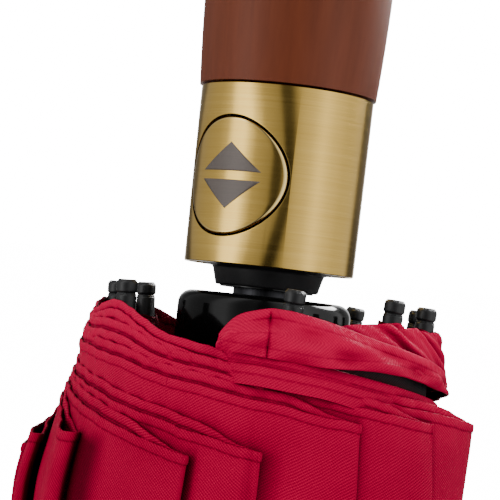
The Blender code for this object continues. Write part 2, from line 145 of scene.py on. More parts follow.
def weld(piece, distance=1e-6):
    """Joins points that lie together."""
    shape = bmesh.new()
    shape.from_mesh(piece.data)
    bmesh.ops.remove_doubles(shape, verts=shape.verts, dist=distance)
    bmesh.ops.dissolve_degenerate(shape, edges=shape.edges, dist=distance)
    bmesh.ops.recalc_face_normals(shape, faces=shape.faces)
    shape.to_mesh(piece.data)
    shape.free()


def cylinder(name, radius, length, sides):
    """A closed cylinder from the origin along +X."""
    mesh = bpy.data.meshes.new(name)
    shape = bmesh.new()
    turn = Matrix.Translation((mm(length) / 2, 0, 0)) @ Matrix.Rotation(pi / 2, 4, "Y")
    size = {"radius1": mm(radius), "radius2": mm(radius), "depth": mm(length)}
    bmesh.ops.create_cone(shape, cap_ends=True, segments=sides, matrix=turn, **size)
    shape.to_mesh(mesh)
    shape.free()
    return linked(name, mesh)


def settle(piece):
    """Applies a piece's modifiers."""
    bpy.context.view_layer.update()
    graph = bpy.context.evaluated_depsgraph_get()
    mesh = bpy.data.meshes.new_from_object(piece.evaluated_get(graph))
    piece.modifiers.clear()
    piece.data = mesh
    return piece


def thickened(piece, thickness, offset=1.0):
    """Turns a sheet into a closed skin."""
    skin = piece.modifiers.new("skin", "SOLIDIFY")
    skin.thickness, skin.offset = mm(thickness), offset
    return settle(piece)


def set_uv(piece, spots, name="UVMap"):
    """A UV map in millimetres, from one spot for each vertex or a rule that gives it."""
    mesh = piece.data
    if callable(spots):
        spots = [spots(v.co) for v in mesh.vertices]
    corner = np.zeros(len(mesh.loops), int)
    mesh.loops.foreach_get("vertex_index", corner)
    layer = mesh.uv_layers.new(name=name)
    layer.data.foreach_set("uv", np.asarray(spots, np.float32)[corner].ravel())


def finished(piece, body, slot, *nodes):
    """Rides a piece on a body and hides the CAD nodes that it stands for."""
    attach(piece, body)
    if nodes:
        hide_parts(*nodes)
    return piece


def ease(x):
    """Rises smoothly from 0 to 1 as x does."""
    t = np.clip(x, 0.0, 1.0)
    return t * t * (3 - 2 * t)


# ---- materials


class Value:
    """A node's output, which adds and multiplies like a number."""

    def __init__(self, nodes, socket):
        self.nodes, self.socket = nodes, socket

    def __add__(self, other):
        return self.nodes.math("ADD", self, other)

    def __sub__(self, other):
        return self.nodes.math("SUBTRACT", self, other)

    def __mul__(self, other):
        return self.nodes.math("MULTIPLY", self, other)


class Nodes:
    """A short way to write a node graph out of numbers, colours and values."""

    def __init__(self, tree):
        self.tree = tree

    def feed(self, socket, value):
        """Links a value to an input, or writes a number, vector or colour in it."""
        if isinstance(value, Value):
            self.tree.links.new(value.socket, socket)
        elif socket.type == "RGBA":
            socket.default_value = (*value, 1.0)
        elif value is not None:
            socket.default_value = value

    def node(self, kind, inputs=None, **settings):
        made = self.tree.nodes.new("ShaderNode" + kind)
        for key, value in settings.items():
            setattr(made, key, value)
        for key, value in (inputs or {}).items():
            self.feed(made.inputs[key], value)
        return made

    def out(self, kind, inputs=None, output=0, **settings):
        """One output of a new node."""
        return Value(self, self.node(kind, inputs, **settings).outputs[output])

    def math(self, operation, a, b=None):
        return self.out("Math", {0: a, 1: b}, operation=operation)

    def mix(self, factor, a, b):
        """A colour between two colours."""
        return self.out("Mix", {0: factor, 6: a, 7: b}, 2, data_type="RGBA")

    def ramp(self, source, start, end):
        """A straight ramp between two (position, value) ends, flat outside them."""
        return self.out("MapRange", {0: source, 1: start[0], 2: end[0], 3: start[1], 4: end[1]})

    def place(self, scale=(1, 1, 1)):
        """Object coordinates times a scale."""
        where = self.out("TexCoord", output="Object")
        return self.out("Mapping", {"Vector": where, "Scale": scale})

    def split(self, vector):
        """The three parts of a vector."""
        return [Value(self, part) for part in self.node("SeparateXYZ", {0: vector}).outputs]

    def noise(self, scale, detail=4.0, rough=0.5, stretch=(1, 1, 1), over=None):
        """Noise over a value, or over stretched object coordinates."""
        inputs = {"Scale": scale, "Detail": detail, "Roughness": rough}
        return self.out("TexNoise", {"Vector": over or self.place(stretch), **inputs}, "Fac")


class Finish(Nodes):
    """The node graph of a new material."""

    def __init__(self, name):
        self.material = bpy.data.materials.new(name)
        self.material.use_nodes = True
        super().__init__(self.material.node_tree)

    def set(self, **values):
        """Feeds the shader's inputs, whose names have _ for a space."""
        shader = self.tree.nodes["Principled BSDF"]
        for key, value in values.items():
            self.feed(shader.inputs[key.replace("_", " ")], value)

    def bump(self, height, strength, depth):
        """Raises the surface where height is large, by at most depth in metres."""
        self.set(Normal=self.out("Bump", {"Strength": strength, "Distance": depth, "Height": height}))


def wood():
    """Red-brown hardwood under gloss lacquer, its grain running along the handle."""
    n = Finish("handle_wood")
    grain = n.noise(420.0, 6.0, 0.62, stretch=(1, 1, 0.09))
    figure = n.noise(60.0, 3.0, 0.5, stretch=(1, 1, 0.12))
    pores = n.noise(1500.0, 2.0, 0.5, stretch=(1, 1, 0.035))
    tone = n.ramp(grain * 0.65 + figure * 0.35, (0.36, 0.0), (0.64, 1.0))
    body = n.mix(tone, (0.090, 0.0185, 0.0060), (0.122, 0.0262, 0.0088))
    dark = n.ramp(pores, (0.60, 0.0), (0.74, 0.25))
    n.set(Base_Color=n.mix(dark, body, (0.070, 0.014, 0.005)), Roughness=0.55)
    n.set(Coat_Weight=0.22, Coat_Roughness=0.32, Coat_IOR=1.45, Specular_IOR_Level=0.12)
    n.bump(n.noise(300.0, stretch=(1, 1, 0.2)), 0.06, 0.0002)
    return n


def brushed_brass(name, polish=0.19):
    """Lacquered brass brushed round the collar: fine lines that catch the light in upright bands."""
    n = Finish(name)
    fine = n.noise(9.0, 3.0, 0.7, stretch=(6, 6, 900))
    coarse = n.noise(5.0, 3.0, 0.6, stretch=(3, 3, 260))
    lines = fine * 0.6 + coarse * 0.4
    shade = n.ramp(lines, (0.3, 0.0), (0.7, 1.0))
    n.set(Base_Color=n.mix(shade, (0.58, 0.368, 0.080), (0.73, 0.485, 0.128)), Metallic=1.0)
    n.set(Roughness=n.ramp(lines, (0.3, polish - 0.04), (0.7, polish + 0.06)))
    n.set(Anisotropic=0.6, Anisotropic_Rotation=0.25)
    n.set(Tangent=n.out("Tangent", direction_type="RADIAL", axis="Z"))
    n.bump(lines, 0.06, 0.00004)
    return n


def polished_brass():
    n = Finish("brass_edge")
    wear = n.noise(900.0, 4.0, 0.6)
    n.set(Base_Color=n.mix(wear, (0.66, 0.46, 0.15), (0.80, 0.62, 0.26)), Metallic=1.0)
    n.set(Roughness=n.ramp(wear, (0.3, 0.1), (0.7, 0.2)))
    return n


def plastic(name, tone, roughness, grain, depth=0.00003, coat=0.0, shine=0.4):
    """Moulded black plastic with a faint grain and handling marks."""
    n = Finish(name)
    cloud = n.noise(90.0, 3.0, 0.6)
    pebble = n.noise(grain, 3.0, 0.6)
    n.set(Base_Color=n.mix(cloud, tuple(c * 0.7 for c in tone), tuple(c * 1.4 for c in tone)))
    n.set(Roughness=n.ramp(cloud, (0.3, roughness * 0.8), (0.7, roughness * 1.25)))
    n.set(Coat_Weight=coat, Coat_Roughness=0.06, Specular_IOR_Level=shine)
    n.bump(pebble, 0.25, depth)
    return n


def cup_black():
    """Piano black with a painted reflection mask: its coat is full on the side towards the bright card and thin on
    the far side, which keeps reflections off that side.
    """
    n = Finish("cup_black")
    cloud = n.noise(90.0, 3.0, 0.6)
    across = n.split(n.place())[0]
    n.set(Base_Color=n.mix(cloud, (0.0012, 0.0012, 0.0012), (0.003, 0.003, 0.003)))
    n.set(Roughness=n.ramp(cloud, (0.3, 0.12), (0.7, 0.2)), Specular_IOR_Level=0.08)
    # Painted reflection mask: the coat thins across the cup, away from the card.
    n.set(Coat_Weight=n.ramp(across, (mm(-4), 0.55), (mm(3), 0.10)), Coat_Roughness=0.05)
    n.bump(n.noise(900.0, 3.0, 0.6), 0.2, 0.00001)
    return n


def metal(name, dark, light, roughness):
    """Drawn or plated metal with fine lengthwise lines."""
    n = Finish(name)
    draw = n.noise(2500.0, 3.0, 0.6, stretch=(1, 1, 0.05))
    cloud = n.noise(120.0, 3.0, 0.6)
    tone = draw * 0.5 + cloud * 0.5
    n.set(Base_Color=n.mix(n.ramp(tone, (0.35, 0.0), (0.65, 1.0)), dark, light), Metallic=1.0)
    n.set(Roughness=n.ramp(tone, (0.3, roughness * 0.75), (0.7, roughness * 1.3)))
    n.bump(draw, 0.1, 0.00003)
    return n


def print_ink():
    """The dark etched print of the two marks on the button."""
    n = Finish("button_print")
    lines = n.noise(9.0, 3.0, 0.7, stretch=(6, 6, 700))
    n.set(Base_Color=n.mix(lines, (0.060, 0.047, 0.040), (0.105, 0.085, 0.074)), Metallic=0.15)
    n.set(Roughness=n.ramp(lines, (0.3, 0.34), (0.7, 0.5)))
    n.bump(lines, 0.15, 0.00004)
    return n


HEM_WIDTH = 1.55
STITCH_PITCH = 2.1
TWILL_PITCH = 0.40
CRIMSON = ((0.150, 0.0001, 0.012), (0.42, 0.0003, 0.038))
PALE_CRIMSON = (0.74, 0.0015, 0.072)
SEWING_THREAD = (0.11, 0.0003, 0.009)
# Colours of painted shade: in crevices, and on inward faces and under fold edges.
CREVICE_SHADE = (0.035, 0.0001, 0.003)
DEEP_SHADE = (0.02, 0.0001, 0.0015)
# Dark grey of the sheet of painted shade set behind the gaps in the bundle.
SHADOW_GREY = ((0.010, 0.0100, 0.0105), (0.034, 0.034, 0.036))


def cloth(name, lean=1.0, stitch=True, shades=CRIMSON, inner_shade=0.85, rim_pale=0.0):
    """Twill cloth. The first UV map is in millimetres: along the hem, then away from it.

    lean is the side the twill lines lean to. Threads, a stitched line along the hem and soft clouds
    make the colour. It turns paler near the rim, by a share the caller gives. Shade is painted into
    the colour as well: darker in crevices by ambient occlusion, on faces that look inwards by
    inner_shade, and under a fold edge, where the second UV map gives that painted shadow.
    """
    n = Finish(name)
    uv = n.out("UVMap")
    along, away, _ = n.split(uv)
    wobble = n.noise(0.12, 2.0, over=uv) * 0.5
    run = along * (0.62 * lean) + away * 0.78
    twill = (n.math("SINE", (run + wobble) * (2 * pi / TWILL_PITCH)) + 1.0) * 0.5
    thread = (n.math("SINE", (away - along * (1.25 * lean)) * 11.0) + 1.0) * 0.5
    weave = twill * 0.7 + thread * 0.3
    fibre = n.noise(7.0, 3.0, 0.7, over=uv)
    shade = weave * 0.50 + fibre * 0.30 + n.noise(0.09, 3.0, 0.5, over=uv) * 0.30
    colour = n.mix(n.ramp(shade, (0.22, 0.0), (0.86, 1.0)), *shades)
    if stitch:
        line = n.math("ABSOLUTE", away - (HEM_WIDTH + 0.06))
        near = n.math("SUBTRACT", 1.0, n.ramp(line, (0.05, 0.0), (0.2, 1.0)))
        dash = n.math("FRACT", n.math("DIVIDE", along, STITCH_PITCH))
        sewn = n.math("LESS_THAN", dash, 0.74)
        colour = n.mix(near * n.ramp(sewn, (0.0, 0.30), (1.0, 0.62)), colour, SEWING_THREAD)
    # The colour turns paler crimson towards the rim end of the bundle.
    paler = n.ramp(n.split(n.place())[2], (mm(107), 1.0), (mm(123), 0.0)) * rim_pale
    colour = n.mix(paler, colour, PALE_CRIMSON)
    # Painted shade: the colour goes towards near-black crimson in crevices, by ambient occlusion.
    hidden = n.out("AmbientOcclusion", {"Distance": 0.0025}, "AO", samples=6)
    colour = n.mix(n.math("POWER", hidden, 1.5), CREVICE_SHADE, colour)
    # Painted shade: faces that look in towards the shaft, and cloth under a fold edge, darken towards near-black
    # crimson.
    where = n.out("TexCoord", output="Object")
    flat = n.out("VectorMath", {0: where, 1: (1.0, 1.0, 0.0)}, operation="MULTIPLY")
    radial = n.out("VectorMath", {0: flat}, operation="NORMALIZE")
    normal = n.out("TexCoord", output="Normal")
    facing = n.out("VectorMath", {0: radial, 1: normal}, "Value", operation="DOT_PRODUCT")
    inside = n.ramp(facing, (-0.35, inner_shade), (0.05, 0.0))
    tuck = n.split(n.out("UVMap", uv_map="tuck"))[0]
    colour = n.mix(n.math("MAXIMUM", tuck, inside), colour, DEEP_SHADE)
    n.set(Base_Color=colour, Roughness=n.ramp(shade, (0.2, 0.72), (0.8, 0.52)))
    n.set(Specular_IOR_Level=0.05, Specular_Tint=(1.0, 0.2, 0.35))
    n.bump(weave * 0.75 + fibre * 0.35, 0.6, 0.00010)
    return n


FINISHES = {
    "wood": wood(),
    "brass": brushed_brass("collar_brass"),
    "button": brushed_brass("button_brass", polish=0.17),
    "edge": polished_brass(),
    "ink": print_ink(),
    "gloss": plastic("gloss_black", (0.002, 0.002, 0.002), 0.16, 900.0, 0.00001, 0.5, 0.1),
    "cup": cup_black(),
    "shadow_sheet": cloth("shadow_sheet_cloth", stitch=False, shades=SHADOW_GREY),
    "satin": plastic("satin_black", (0.0065, 0.0065, 0.007), 0.42, 1400.0, 0.00003),
    "matt": plastic("matt_black", (0.008, 0.008, 0.0085), 0.55, 1800.0, 0.00004),
    "black_steel": metal("black_steel", (0.018, 0.018, 0.02), (0.05, 0.05, 0.055), 0.32),
    "steel": metal("tube_steel", (0.40, 0.41, 0.42), (0.66, 0.67, 0.68), 0.22),
    "spring": metal("spring_steel", (0.22, 0.22, 0.23), (0.45, 0.45, 0.46), 0.3),
    "rib": metal("rib_steel", (0.02, 0.02, 0.022), (0.06, 0.06, 0.065), 0.38),
    "cord": plastic("cord", (0.5, 0.5, 0.47), 0.8, 2500.0, 0.0001),
    "cloth_a": cloth("canopy_cloth_a", 1.0, rim_pale=0.30),
    "cloth_b": cloth("canopy_cloth_b", -1.0, rim_pale=0.30),
    "cloth_open": cloth("canopy_cloth_open", 1.0, inner_shade=0.0),
    "strap": cloth("strap_cloth", -1.0, inner_shade=0.0),
}
LOOKS = {look: finish.material for look, finish in FINISHES.items()}

# ---- places read from the frame


def box_mm(node):
    """The low and high corners of a CAD node's box."""
    return [corner * 1000 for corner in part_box(node)]


def joint_place(name):
    return Vector(JOINTS[name]["pos_m"]) * 1000


def joint_axis(name):
    return Vector(JOINTS[name]["axis"])


def upward(height):
    return Vector((0, 0, height))


def aimed(spot, direction, axis="Z", upright="Y"):
    """Moves a piece to a spot in millimetres and turns its axis to a direction."""
    turn = direction.to_track_quat(axis, upright).to_matrix().to_4x4()
    return Matrix.Translation(spot * 0.001) @ turn


def outward(azimuth):
    """The level direction at an azimuth in radians."""
    return Vector((cos(azimuth), sin(azimuth), 0))


def rib_azimuth(k):
    spot = joint_place(f"tip_rib_{k}_hinge")
    return atan2(spot.y, spot.x)


WOOD_LOW, WOOD_HIGH = box_mm("handle_grip")
COLLAR_LOW, COLLAR_HIGH = box_mm("collar")
COLLAR_R = COLLAR_HIGH.x
PRESS = -joint_axis("button_press")
BUTTON_TURN = atan2(PRESS.y, PRESS.x)
BUTTON_LOW, BUTTON_HIGH = box_mm("push_button")
BUTTON_Z = (BUTTON_LOW.z + BUTTON_HIGH.z) / 2
BUTTON_R = (BUTTON_HIGH.z - BUTTON_LOW.z) / 2
BUTTON_HOLE_R = BUTTON_R + 0.4
CUP_LOW, CUP_HIGH = box_mm("runner_cup")
CUP_R = CUP_HIGH.x
FERRULE_FOOT = box_mm("ferrule")[0].z

# ---- handle

GRIP_R, GRIP_COLLAR_R, GRIP_END_R = 16.4, 15.6, 14.6
GRIP_BORE_R, CAP_SEAT_R, SCREW_R = 10.0, 8.3, 4.2


def make_grip():
    """The lacquered wooden grip, smooth where the CAD one is faceted."""
    low, high, brim = WOOD_LOW.z, WOOD_HIGH.z, 2.4
    side = []
    for i in range(33):
        share = i / 32
        swell = sin(pi * (1 - share) ** 1.35) ** 0.9 if 0 < share < 1 else 0.0
        base = GRIP_COLLAR_R + (GRIP_END_R + 1.6 - GRIP_COLLAR_R) * share
        side.append((base + (GRIP_R - GRIP_COLLAR_R) * swell, high - (high - low - brim) * share))
    foot = [side[-1], (GRIP_END_R + 1.2, low + 0.9), (GRIP_END_R - 0.4, low)]
    foot = rounded([*foot, (CAP_SEAT_R, low), (CAP_SEAT_R, low + 3.8)], 0.7)
    inner = [(SCREW_R, low + 4.0), (SCREW_R, low + 8.0), (GRIP_BORE_R, low + 8.0), (GRIP_BORE_R, high - 0.1)]
    grip = lathe("grip", side + foot[1:] + inner, "wood", 128)
    finished(grip, "handle", "handle_wood", "handle_grip")


def make_collar():
    """The brushed collar with its button hole, its edges turned over."""
    low, high, wall = COLLAR_LOW.z, COLLAR_HIGH.z, 0.9
    r_low, r_high = COLLAR_R, COLLAR_R - 0.3
    outline = [(r_high - wall, high), (r_high, high), (r_low, low), (r_low - wall, low)]
    outline = rounded([*outline, outline[0]], 0.3, 3)[:-1]
    collar = lathe("collar_shell", outline, "brass", 256)
    hole = cylinder("hole_tool", BUTTON_HOLE_R, 20.0, 128)
    hole.matrix_world = Matrix.Rotation(BUTTON_TURN, 4, "Z") @ Matrix.Translation((0, 0, mm(BUTTON_Z)))
    cut = collar.modifiers.new("hole", "BOOLEAN")
    cut.operation, cut.object = "DIFFERENCE", hole
    settle(collar)
    bpy.data.objects.remove(hole)
    bevel_hole(collar)
    finished(collar, "handle", "collar_brass", "collar")


def bevel_hole(collar):
    """A small chamfer on the outer edge of the button hole."""
    shape = bmesh.new()
    shape.from_mesh(collar.data)
    out = outward(BUTTON_TURN)
    edges = []
    for edge in shape.edges:
        inside = edge.calc_face_angle(0) > 0.6
        for vert in edge.verts:
            arm = vert.co - upward(mm(BUTTON_Z))
            along = arm.dot(out)
            off = (arm - out * along).length
            far = hypot(vert.co.x, vert.co.y) > mm(COLLAR_R - 0.6)
            inside = inside and abs(off - mm(BUTTON_HOLE_R)) < mm(0.03) and along > 0 and far
        if inside:
            edges.append(edge)
    bmesh.ops.bevel(shape, geom=edges, offset=mm(0.22), segments=2, profile=0.6, affect="EDGES")
    shape.to_mesh(collar.data)
    shape.free()
    collar.data.shade_smooth()
    collar.data.set_sharp_from_angle(angle=radians(32))


def on_button(across, along, lift=0.0):
    """A point on the button's curved face, across and along the shaft from its centre."""
    face = COLLAR_R - 0.1 + lift
    out = sqrt(face**2 - across**2)
    c, s = cos(BUTTON_TURN), sin(BUTTON_TURN)
    return (out * c - across * s, out * s + across * c, BUTTON_Z + along)


def make_button():
    """The button: a curved face, a polished rounded edge, a skirt and a curved back."""
    rings, sides, edge, skirt = 14, 96, 0.38, 1.7
    reach = [(BUTTON_R - edge) * i / rings for i in range(1, rings + 1)]
    steps = [(r, 0.0) for r in reach]
    for i in range(1, 6):
        a = pi / 2 * i / 5
        steps.append((BUTTON_R - edge + edge * sin(a), -edge * (1 - cos(a))))
    steps += [(BUTTON_R, -skirt)] + [(r, -skirt) for r in reversed(reach)]
    points = [on_button(0, 0)]
    for r, drop in steps:
        points += [on_button(r * cos(a), r * sin(a), drop) for a in circle(sides)]
    faces = [(0, 1 + k, 1 + (k + 1) % sides) for k in range(sides)]
    faces += (quads(len(steps), sides, closed_cols=True) + 1).tolist()
    faces.append(range(len(points) - sides, len(points)))
    button = mesh_object("button_face", points, faces, "button", 50)
    weld(button)
    button.data.materials.append(LOOKS["edge"])
    for face in button.data.polygons:
        arm = face.center - upward(mm(BUTTON_Z))
        off = (arm - PRESS * arm.dot(PRESS)).length
        face.material_index = 1 if off > mm(BUTTON_R - edge) else 0
    finished(button, "button", "button_brass", "push_button")
    for word, way in (("open", -1), ("shut", 1)):
        finished(make_mark(f"button_mark_{word}", way), "button", "button_brass")


def make_mark(name, way):
    """One plain triangle printed on the button, pointing along the shaft."""
    base, height, gap, aside, lift, rows = 11.8, 4.9, 0.76, -0.5, 0.02, 14
    points = []
    for i in range(rows + 1):
        share = i / rows
        half = base / 2 * (1 - share) + 0.02
        for j in range(rows + 1):
            across = -half + 2 * half * j / rows
            points.append(on_button(across + aside, way * (gap + height * share), lift))
    mark = mesh_object(name, points, quads(rows + 1, rows + 1, flip=True), "ink")
    return thickened(mark, 0.04, 0.0)


def make_button_coil():
    """The coil behind the button."""
    node = NODES["button_spring"]
    mesh = node.data.copy()
    mesh.transform(node.matrix_world)
    mesh.materials.clear()
    mesh.materials.append(LOOKS["spring"])
    coil = finished(linked("button_coil", mesh), "handle", "spring_steel", "button_spring")
    seat = min(v.co.dot(PRESS) for v in mesh.vertices)
    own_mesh(coil)


def make_neck():
    """The stepped bush where the shaft enters the collar, with a thin ring on it."""
    rim, top, low = COLLAR_HIGH.z, box_mm("neck_bush")[1].z, COLLAR_HIGH.z - 2.3
    bore, seat = 6.1, 13.6
    outline = [(bore, top), (9.0, top), (9.85, rim + 0.3), (seat, rim - 0.4), (seat, low), (bore, low)]
    neck = lathe("neck", rounded(outline, 0.35), "satin")
    finished(neck, "handle", "black_plastic", "neck_bush")
    ring = [(7.0, top + 0.25), (8.2, top + 0.25), (8.2, top - 0.3), (7.0, top - 0.3)]
    ring = lathe("neck_ring", rounded(ring, 0.12), "gloss", 64)
    finished(ring, "handle", "black_plastic")


# ---- shaft, crown and runner

TUBES = {  # CAD node: body, look and finish
    "outer_tube": ("handle", "black_steel", "black_steel"),
    "middle_tube": ("middle_tube", "steel", "tube_steel"),
    "inner_tube": ("inner_tube", "steel", "tube_steel"),
}


def make_tubes():
    for node, (body, look, slot) in TUBES.items():
        low, high = box_mm(node)
        r, bore = high.x, high.x - 0.5
        outline = [(bore, high.z), (r, high.z), (r, low.z), (bore, low.z), (bore, high.z)]
        tube = lathe(node + "_shell", rounded(outline, 0.15, 2)[:-1], look, 64)
        finished(tube, body, slot, node)


def make_cup():
    """The glossy cup that gathers the rib tips, with a soft shoulder."""
    low, high, wall, soft, bore = CUP_LOW.z, CUP_HIGH.z, 1.2, 2.4, 7.4
    outline = [(CUP_R - wall, high), (CUP_R - 0.35, high), (CUP_R, high - 0.5)]
    for i in range(9):
        a = radians(90 / 8 * i)
        outline.append((CUP_R - soft + soft * cos(a), low + soft - soft * sin(a)))
    outline += [(bore + 0.8, low), (bore, low + 0.35), (bore, low + wall)]
    outline += [(CUP_R - 2.6, low + wall), (CUP_R - wall, low + 2.6)]
    finished(lathe("cup", outline, "cup", 128), "runner", "black_plastic", "runner_cup")


def make_ferrule():
    low = FERRULE_FOOT
    outline = [(0.0, low + 14.0), (2.9, low + 14.0), (3.7, low + 13.0), (4.4, low + 6.2), (10.6, low + 3.5)]
    outline += [(11.8, low + 2.2), (12.0, low + 0.4), (11.6, low), (0.0, low)]
    ferrule = lathe("ferrule_cap", rounded(outline, 0.7), "gloss", closed=False)
    finished(ferrule, "inner_tube", "black_plastic", "ferrule")


def make_rosette():
    """The round cloth patch under the ferrule, where all the gores meet."""
    top = FERRULE_FOOT - 0.35
    outline = [(4.4, top), (9.0, top), (12.4, top - 0.5), (13.4, top - 1.6)]
    outline += [(13.2, top - 1.8), (8.8, top - 0.5), (4.4, top - 0.4)]
    patch = lathe("rosette", outline, "cloth_open")
    set_uv(patch, lambda p: (atan2(p.y, p.x) * 13, hypot(p.x, p.y) * 1000 + 8))
    finished(patch, "inner_tube", "canopy_fabric")


def make_crown_cloth():
    """The pleated cloth between the round patch and the folded canopy."""
    top, cols = FERRULE_FOOT - 1.2, 192
    slope = ((11.6, 0.0), (15.0, 0.8), (18.8, 1.5), (22.2, 2.8), (24.8, 5.4), (26.0, 10.5))
    points = []
    for row, (r, drop) in enumerate(slope):
        for a in circle(cols):
            pleat = 0.45 * sin(len(RIBS) * 2 * a) + 0.25 * sin(27 * a + 0.3 * row)
            pleat *= min(1.0, row / 2)
            points.append(outward(a) * (r + pleat) + upward(top - drop + 0.3 * pleat))
    faces = quads(len(slope), cols, closed_cols=True)
    cone = mesh_object("crown_cloth", points, faces, "cloth_open", 180)
    set_uv(cone, lambda p: (atan2(p.y, p.x) * 20, hypot(p.x, p.y) * 1000 + 8))
    finished(thickened(cone, 0.25), "inner_tube", "canopy_fabric")
    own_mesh(cone)


def make_rivets():
    """The small rivets where each strut meets its top rib."""
    for k in RIBS:
        foot, side = joint_place(f"strut_{k}_hinge"), joint_axis(f"strut_{k}_hinge")
        high = box_mm(f"strut_{k}")[1].z
        spot = foot + outward(rib_azimuth(k)) * 3.17 + upward(high - 1.4 - foot.z)
        rivet = cylinder(f"strut_rivet_{k}", 1.15, 0.5, 20)
        rivet.matrix_world = aimed(spot - side * 4.5, side, "X", "Z")
        rivet.data.materials.append(LOOKS["spring"])
        bevel = rivet.modifiers.new("edge", "BEVEL")
        bevel.width, bevel.segments = mm(0.2), 2
        finished(rivet, f"strut_{k}", "rib_steel")


# ---- rib tips

GATHER_SIZE = (0.6, 0.6, 0.6, 0.6, 0.6, 0.25, 0.3, 0.25)
GATHER_START = (4.6, 4.2, 3.8, 3.8, 3.8, 6.6, 6.0, 6.0)


def tip_line(k):
    """The free end of tip rib k and the direction from it back along the cap, in millimetres."""
    points = np.array([v.co for v in NODES[f"tip_rib_{k}"].data.vertices]) * 1000
    low = points[:, 2].min()
    end = points[points[:, 2] < low + 1.0].mean(0)
    root = points[(points[:, 2] > low + 6.6) & (points[:, 2] < low + 8.7)].mean(0)
    return Vector(end), Vector(root - end).normalized()


def make_tips():
    outline = [(0.0, 8.1), (1.5, 8.1), (1.71, 7.5), (1.71, 2.55), (1.45, 2.35), (1.45, 2.1), (1.79, 1.85)]
    outline = rounded([*outline, (1.80, 0.35), (1.45, -0.06), (0.0, -0.06)], 0.22, 3)
    for k in RIBS:
        end, back = tip_line(k)
        cap = lathe(f"tip_cap_{k}", outline, "satin", 40, closed=False)
        cap.matrix_world = aimed(end, back)
        finished(cap, f"tip_rib_{k}", "black_plastic")
        finished(make_gather(k, end, back, GATHER_SIZE[k - 1]), f"tip_rib_{k}", "canopy_fabric")


def make_gather(k, end, back, size):
    """The cloth drawn in and sewn round a tip cap, with painted shade on its side towards the shaft."""
    rows, cols = 14, 72
    shift = np.random.default_rng(40 + k).uniform(0, 2 * pi, 3)
    aim = back.to_track_quat("Z", "Y").to_matrix()
    radial = Vector((end.x, end.y, 0)).normalized()
    points = []
    for i in range(rows + 1):
        share = i / rows
        for a in circle(cols):
            pleat = 0.10 * sin(5 * a + shift[0] + share) + 0.07 * sin(9 * a + shift[1] - 2 * share)
            r = (1.80 + 3.3 * size * share**1.2) * (1 + pleat * min(1.0, 0.35 + share * 1.6))
            r += 0.22 * exp(-(((share - 0.04) / 0.06) ** 2))
            local = aim @ Vector((cos(a) * r, sin(a) * r, 0))
            local -= radial * local.dot(radial) * (0.42 * share)
            rise = GATHER_START[k - 1] + 7.5 * share * size + 0.22 * sin(3 * a + shift[2])
            points.append(end + local + back * rise)
    faces = quads(rows + 1, cols, closed_cols=True, flip=True)
    sock = mesh_object(f"tip_gather_{k}", points, faces, "cloth_a" if k % 2 else "cloth_b", 180)
    set_uv(sock, lambda p: (atan2(p.y, p.x) * 30 + p.z * 300, p.z * 1000 + 30))
    # Painted shade: the gather darkens on its side towards the shaft, inside the bundle.
    line = end.dot(radial) + 0.5
    set_uv(sock, lambda p: (0.93 * ease((line - p.dot(radial) * 1000) / 1.2), 0), "tuck")
    return thickened(sock, 0.25)

# ---- folded canopy


TIP_ENDS = [tip_line(k)[0] for k in RIBS]
TIP_BEARINGS = [(270 - degrees(atan2(end.y, end.x))) % 360 for end in TIP_ENDS]
TIP_R = 27.0
CLOTH_TOP = box_mm("canopy_tip_left")[1].z - 7.0
WRAP_R = 29.0  # innermost layer, level with the tips
THREAD = 0.11  # half the thickness of the cloth
COLUMN = 0.6  # spacing of mesh columns along a hem
HEM_ROWS = (0.0, 0.12, 0.35, 0.7, 1.05, 1.35, 1.5, 1.6, 1.75, 2.1)  # mesh rows over the rolled edge
MM_PER_DEGREE = 0.56  # along the outside of the bundle
TWIST = 73.6  # degrees that the fold edges turn by, from the tips to the crown
STEEP = 0.15  # a hem that climbs faster than this only does so near its corner
CLOTH_END = 124.0  # bearing where the lap, the bands and the shoulder end

# Each flap is a folded gore wrapped round the bundle, the outermost first: the bearing where its fold
# stops, the height of its corner, how fast its hem climbs (mm a degree), how wide its fold stands
# open, how far the end flares away from the bundle, and how deep and wide a shade its fold casts.
Flap = namedtuple("Flap", "stop corner climb loop flare shade shade_width")
FLAPS = (
    Flap(-90.0, 130.0, 0.200, 1.3, 1.6, 0.50, 1.5),
    Flap(-80.0, 127.6, 0.180, 2.2, 0.6, 0.60, 2.0),
    Flap(-57.0, 125.9, 0.200, 3.0, 0.0, 0.78, 8.6),
    Flap(-17.0, 126.6, 0.125, 0.9, 0.6, 0.70, 2.0),
    Flap(2.7, 124.8, 0.102, 0.8, 0.6, 0.30, 4.6),
    Flap(30.5, 118.9, 0.072, 0.8, 1.2, 0.50, 1.6),
    Flap(57.0, 118.1, 0.072, 0.8, 2.6, 0.22, 2.0),
    Flap(80.0, 117.8, 0.074, 0.8, 6.0, 0.50, 3.0),
)

# Edges of the cloth that lies over the flaps, as (bearing, height) points.
LAP_TOP = ((-13, 108.6), (-11, 106.3), (-9.5, 104.4), (-6, 103.2), (2.3, 102.0), (9.2, 102.2))
LAP_TOP += ((20.2, 103.2), (36.5, 105.3), (59.7, 107.6), (90, 110.9), (125, 112.5))
LAP_FOOT = ((-13, 109.4), (0, 109.9), (19, 110.6), (24, 110.5), (36, 110.3), (49.4, 110.9))
LAP_FOOT += ((90, 114.4), (125, 116.4))
BAND_TOP = ((-14, 109.2), (0, 109.3), (19.4, 110.3), (28, 111.1), (49.4, 112.7), (90, 115.9), (125, 116.8))
SECOND_TOP = tuple((bearing, height + 1.9) for bearing, height in BAND_TOP)
SHOULDER_TOP = ((18, 105.0), (28, 103.4), (45, 102.4), (53, 103.0), (63, 102.6), (75, 103.4))
SHOULDER_TOP += ((84, 102.9), (96, 103.2), (103, 103.6), (125, 106.5))
SHOULDER_FOOT = ((18, 108.0), (36, 108.5), (60, 110.6), (90, 113.0), (125, 114.5))
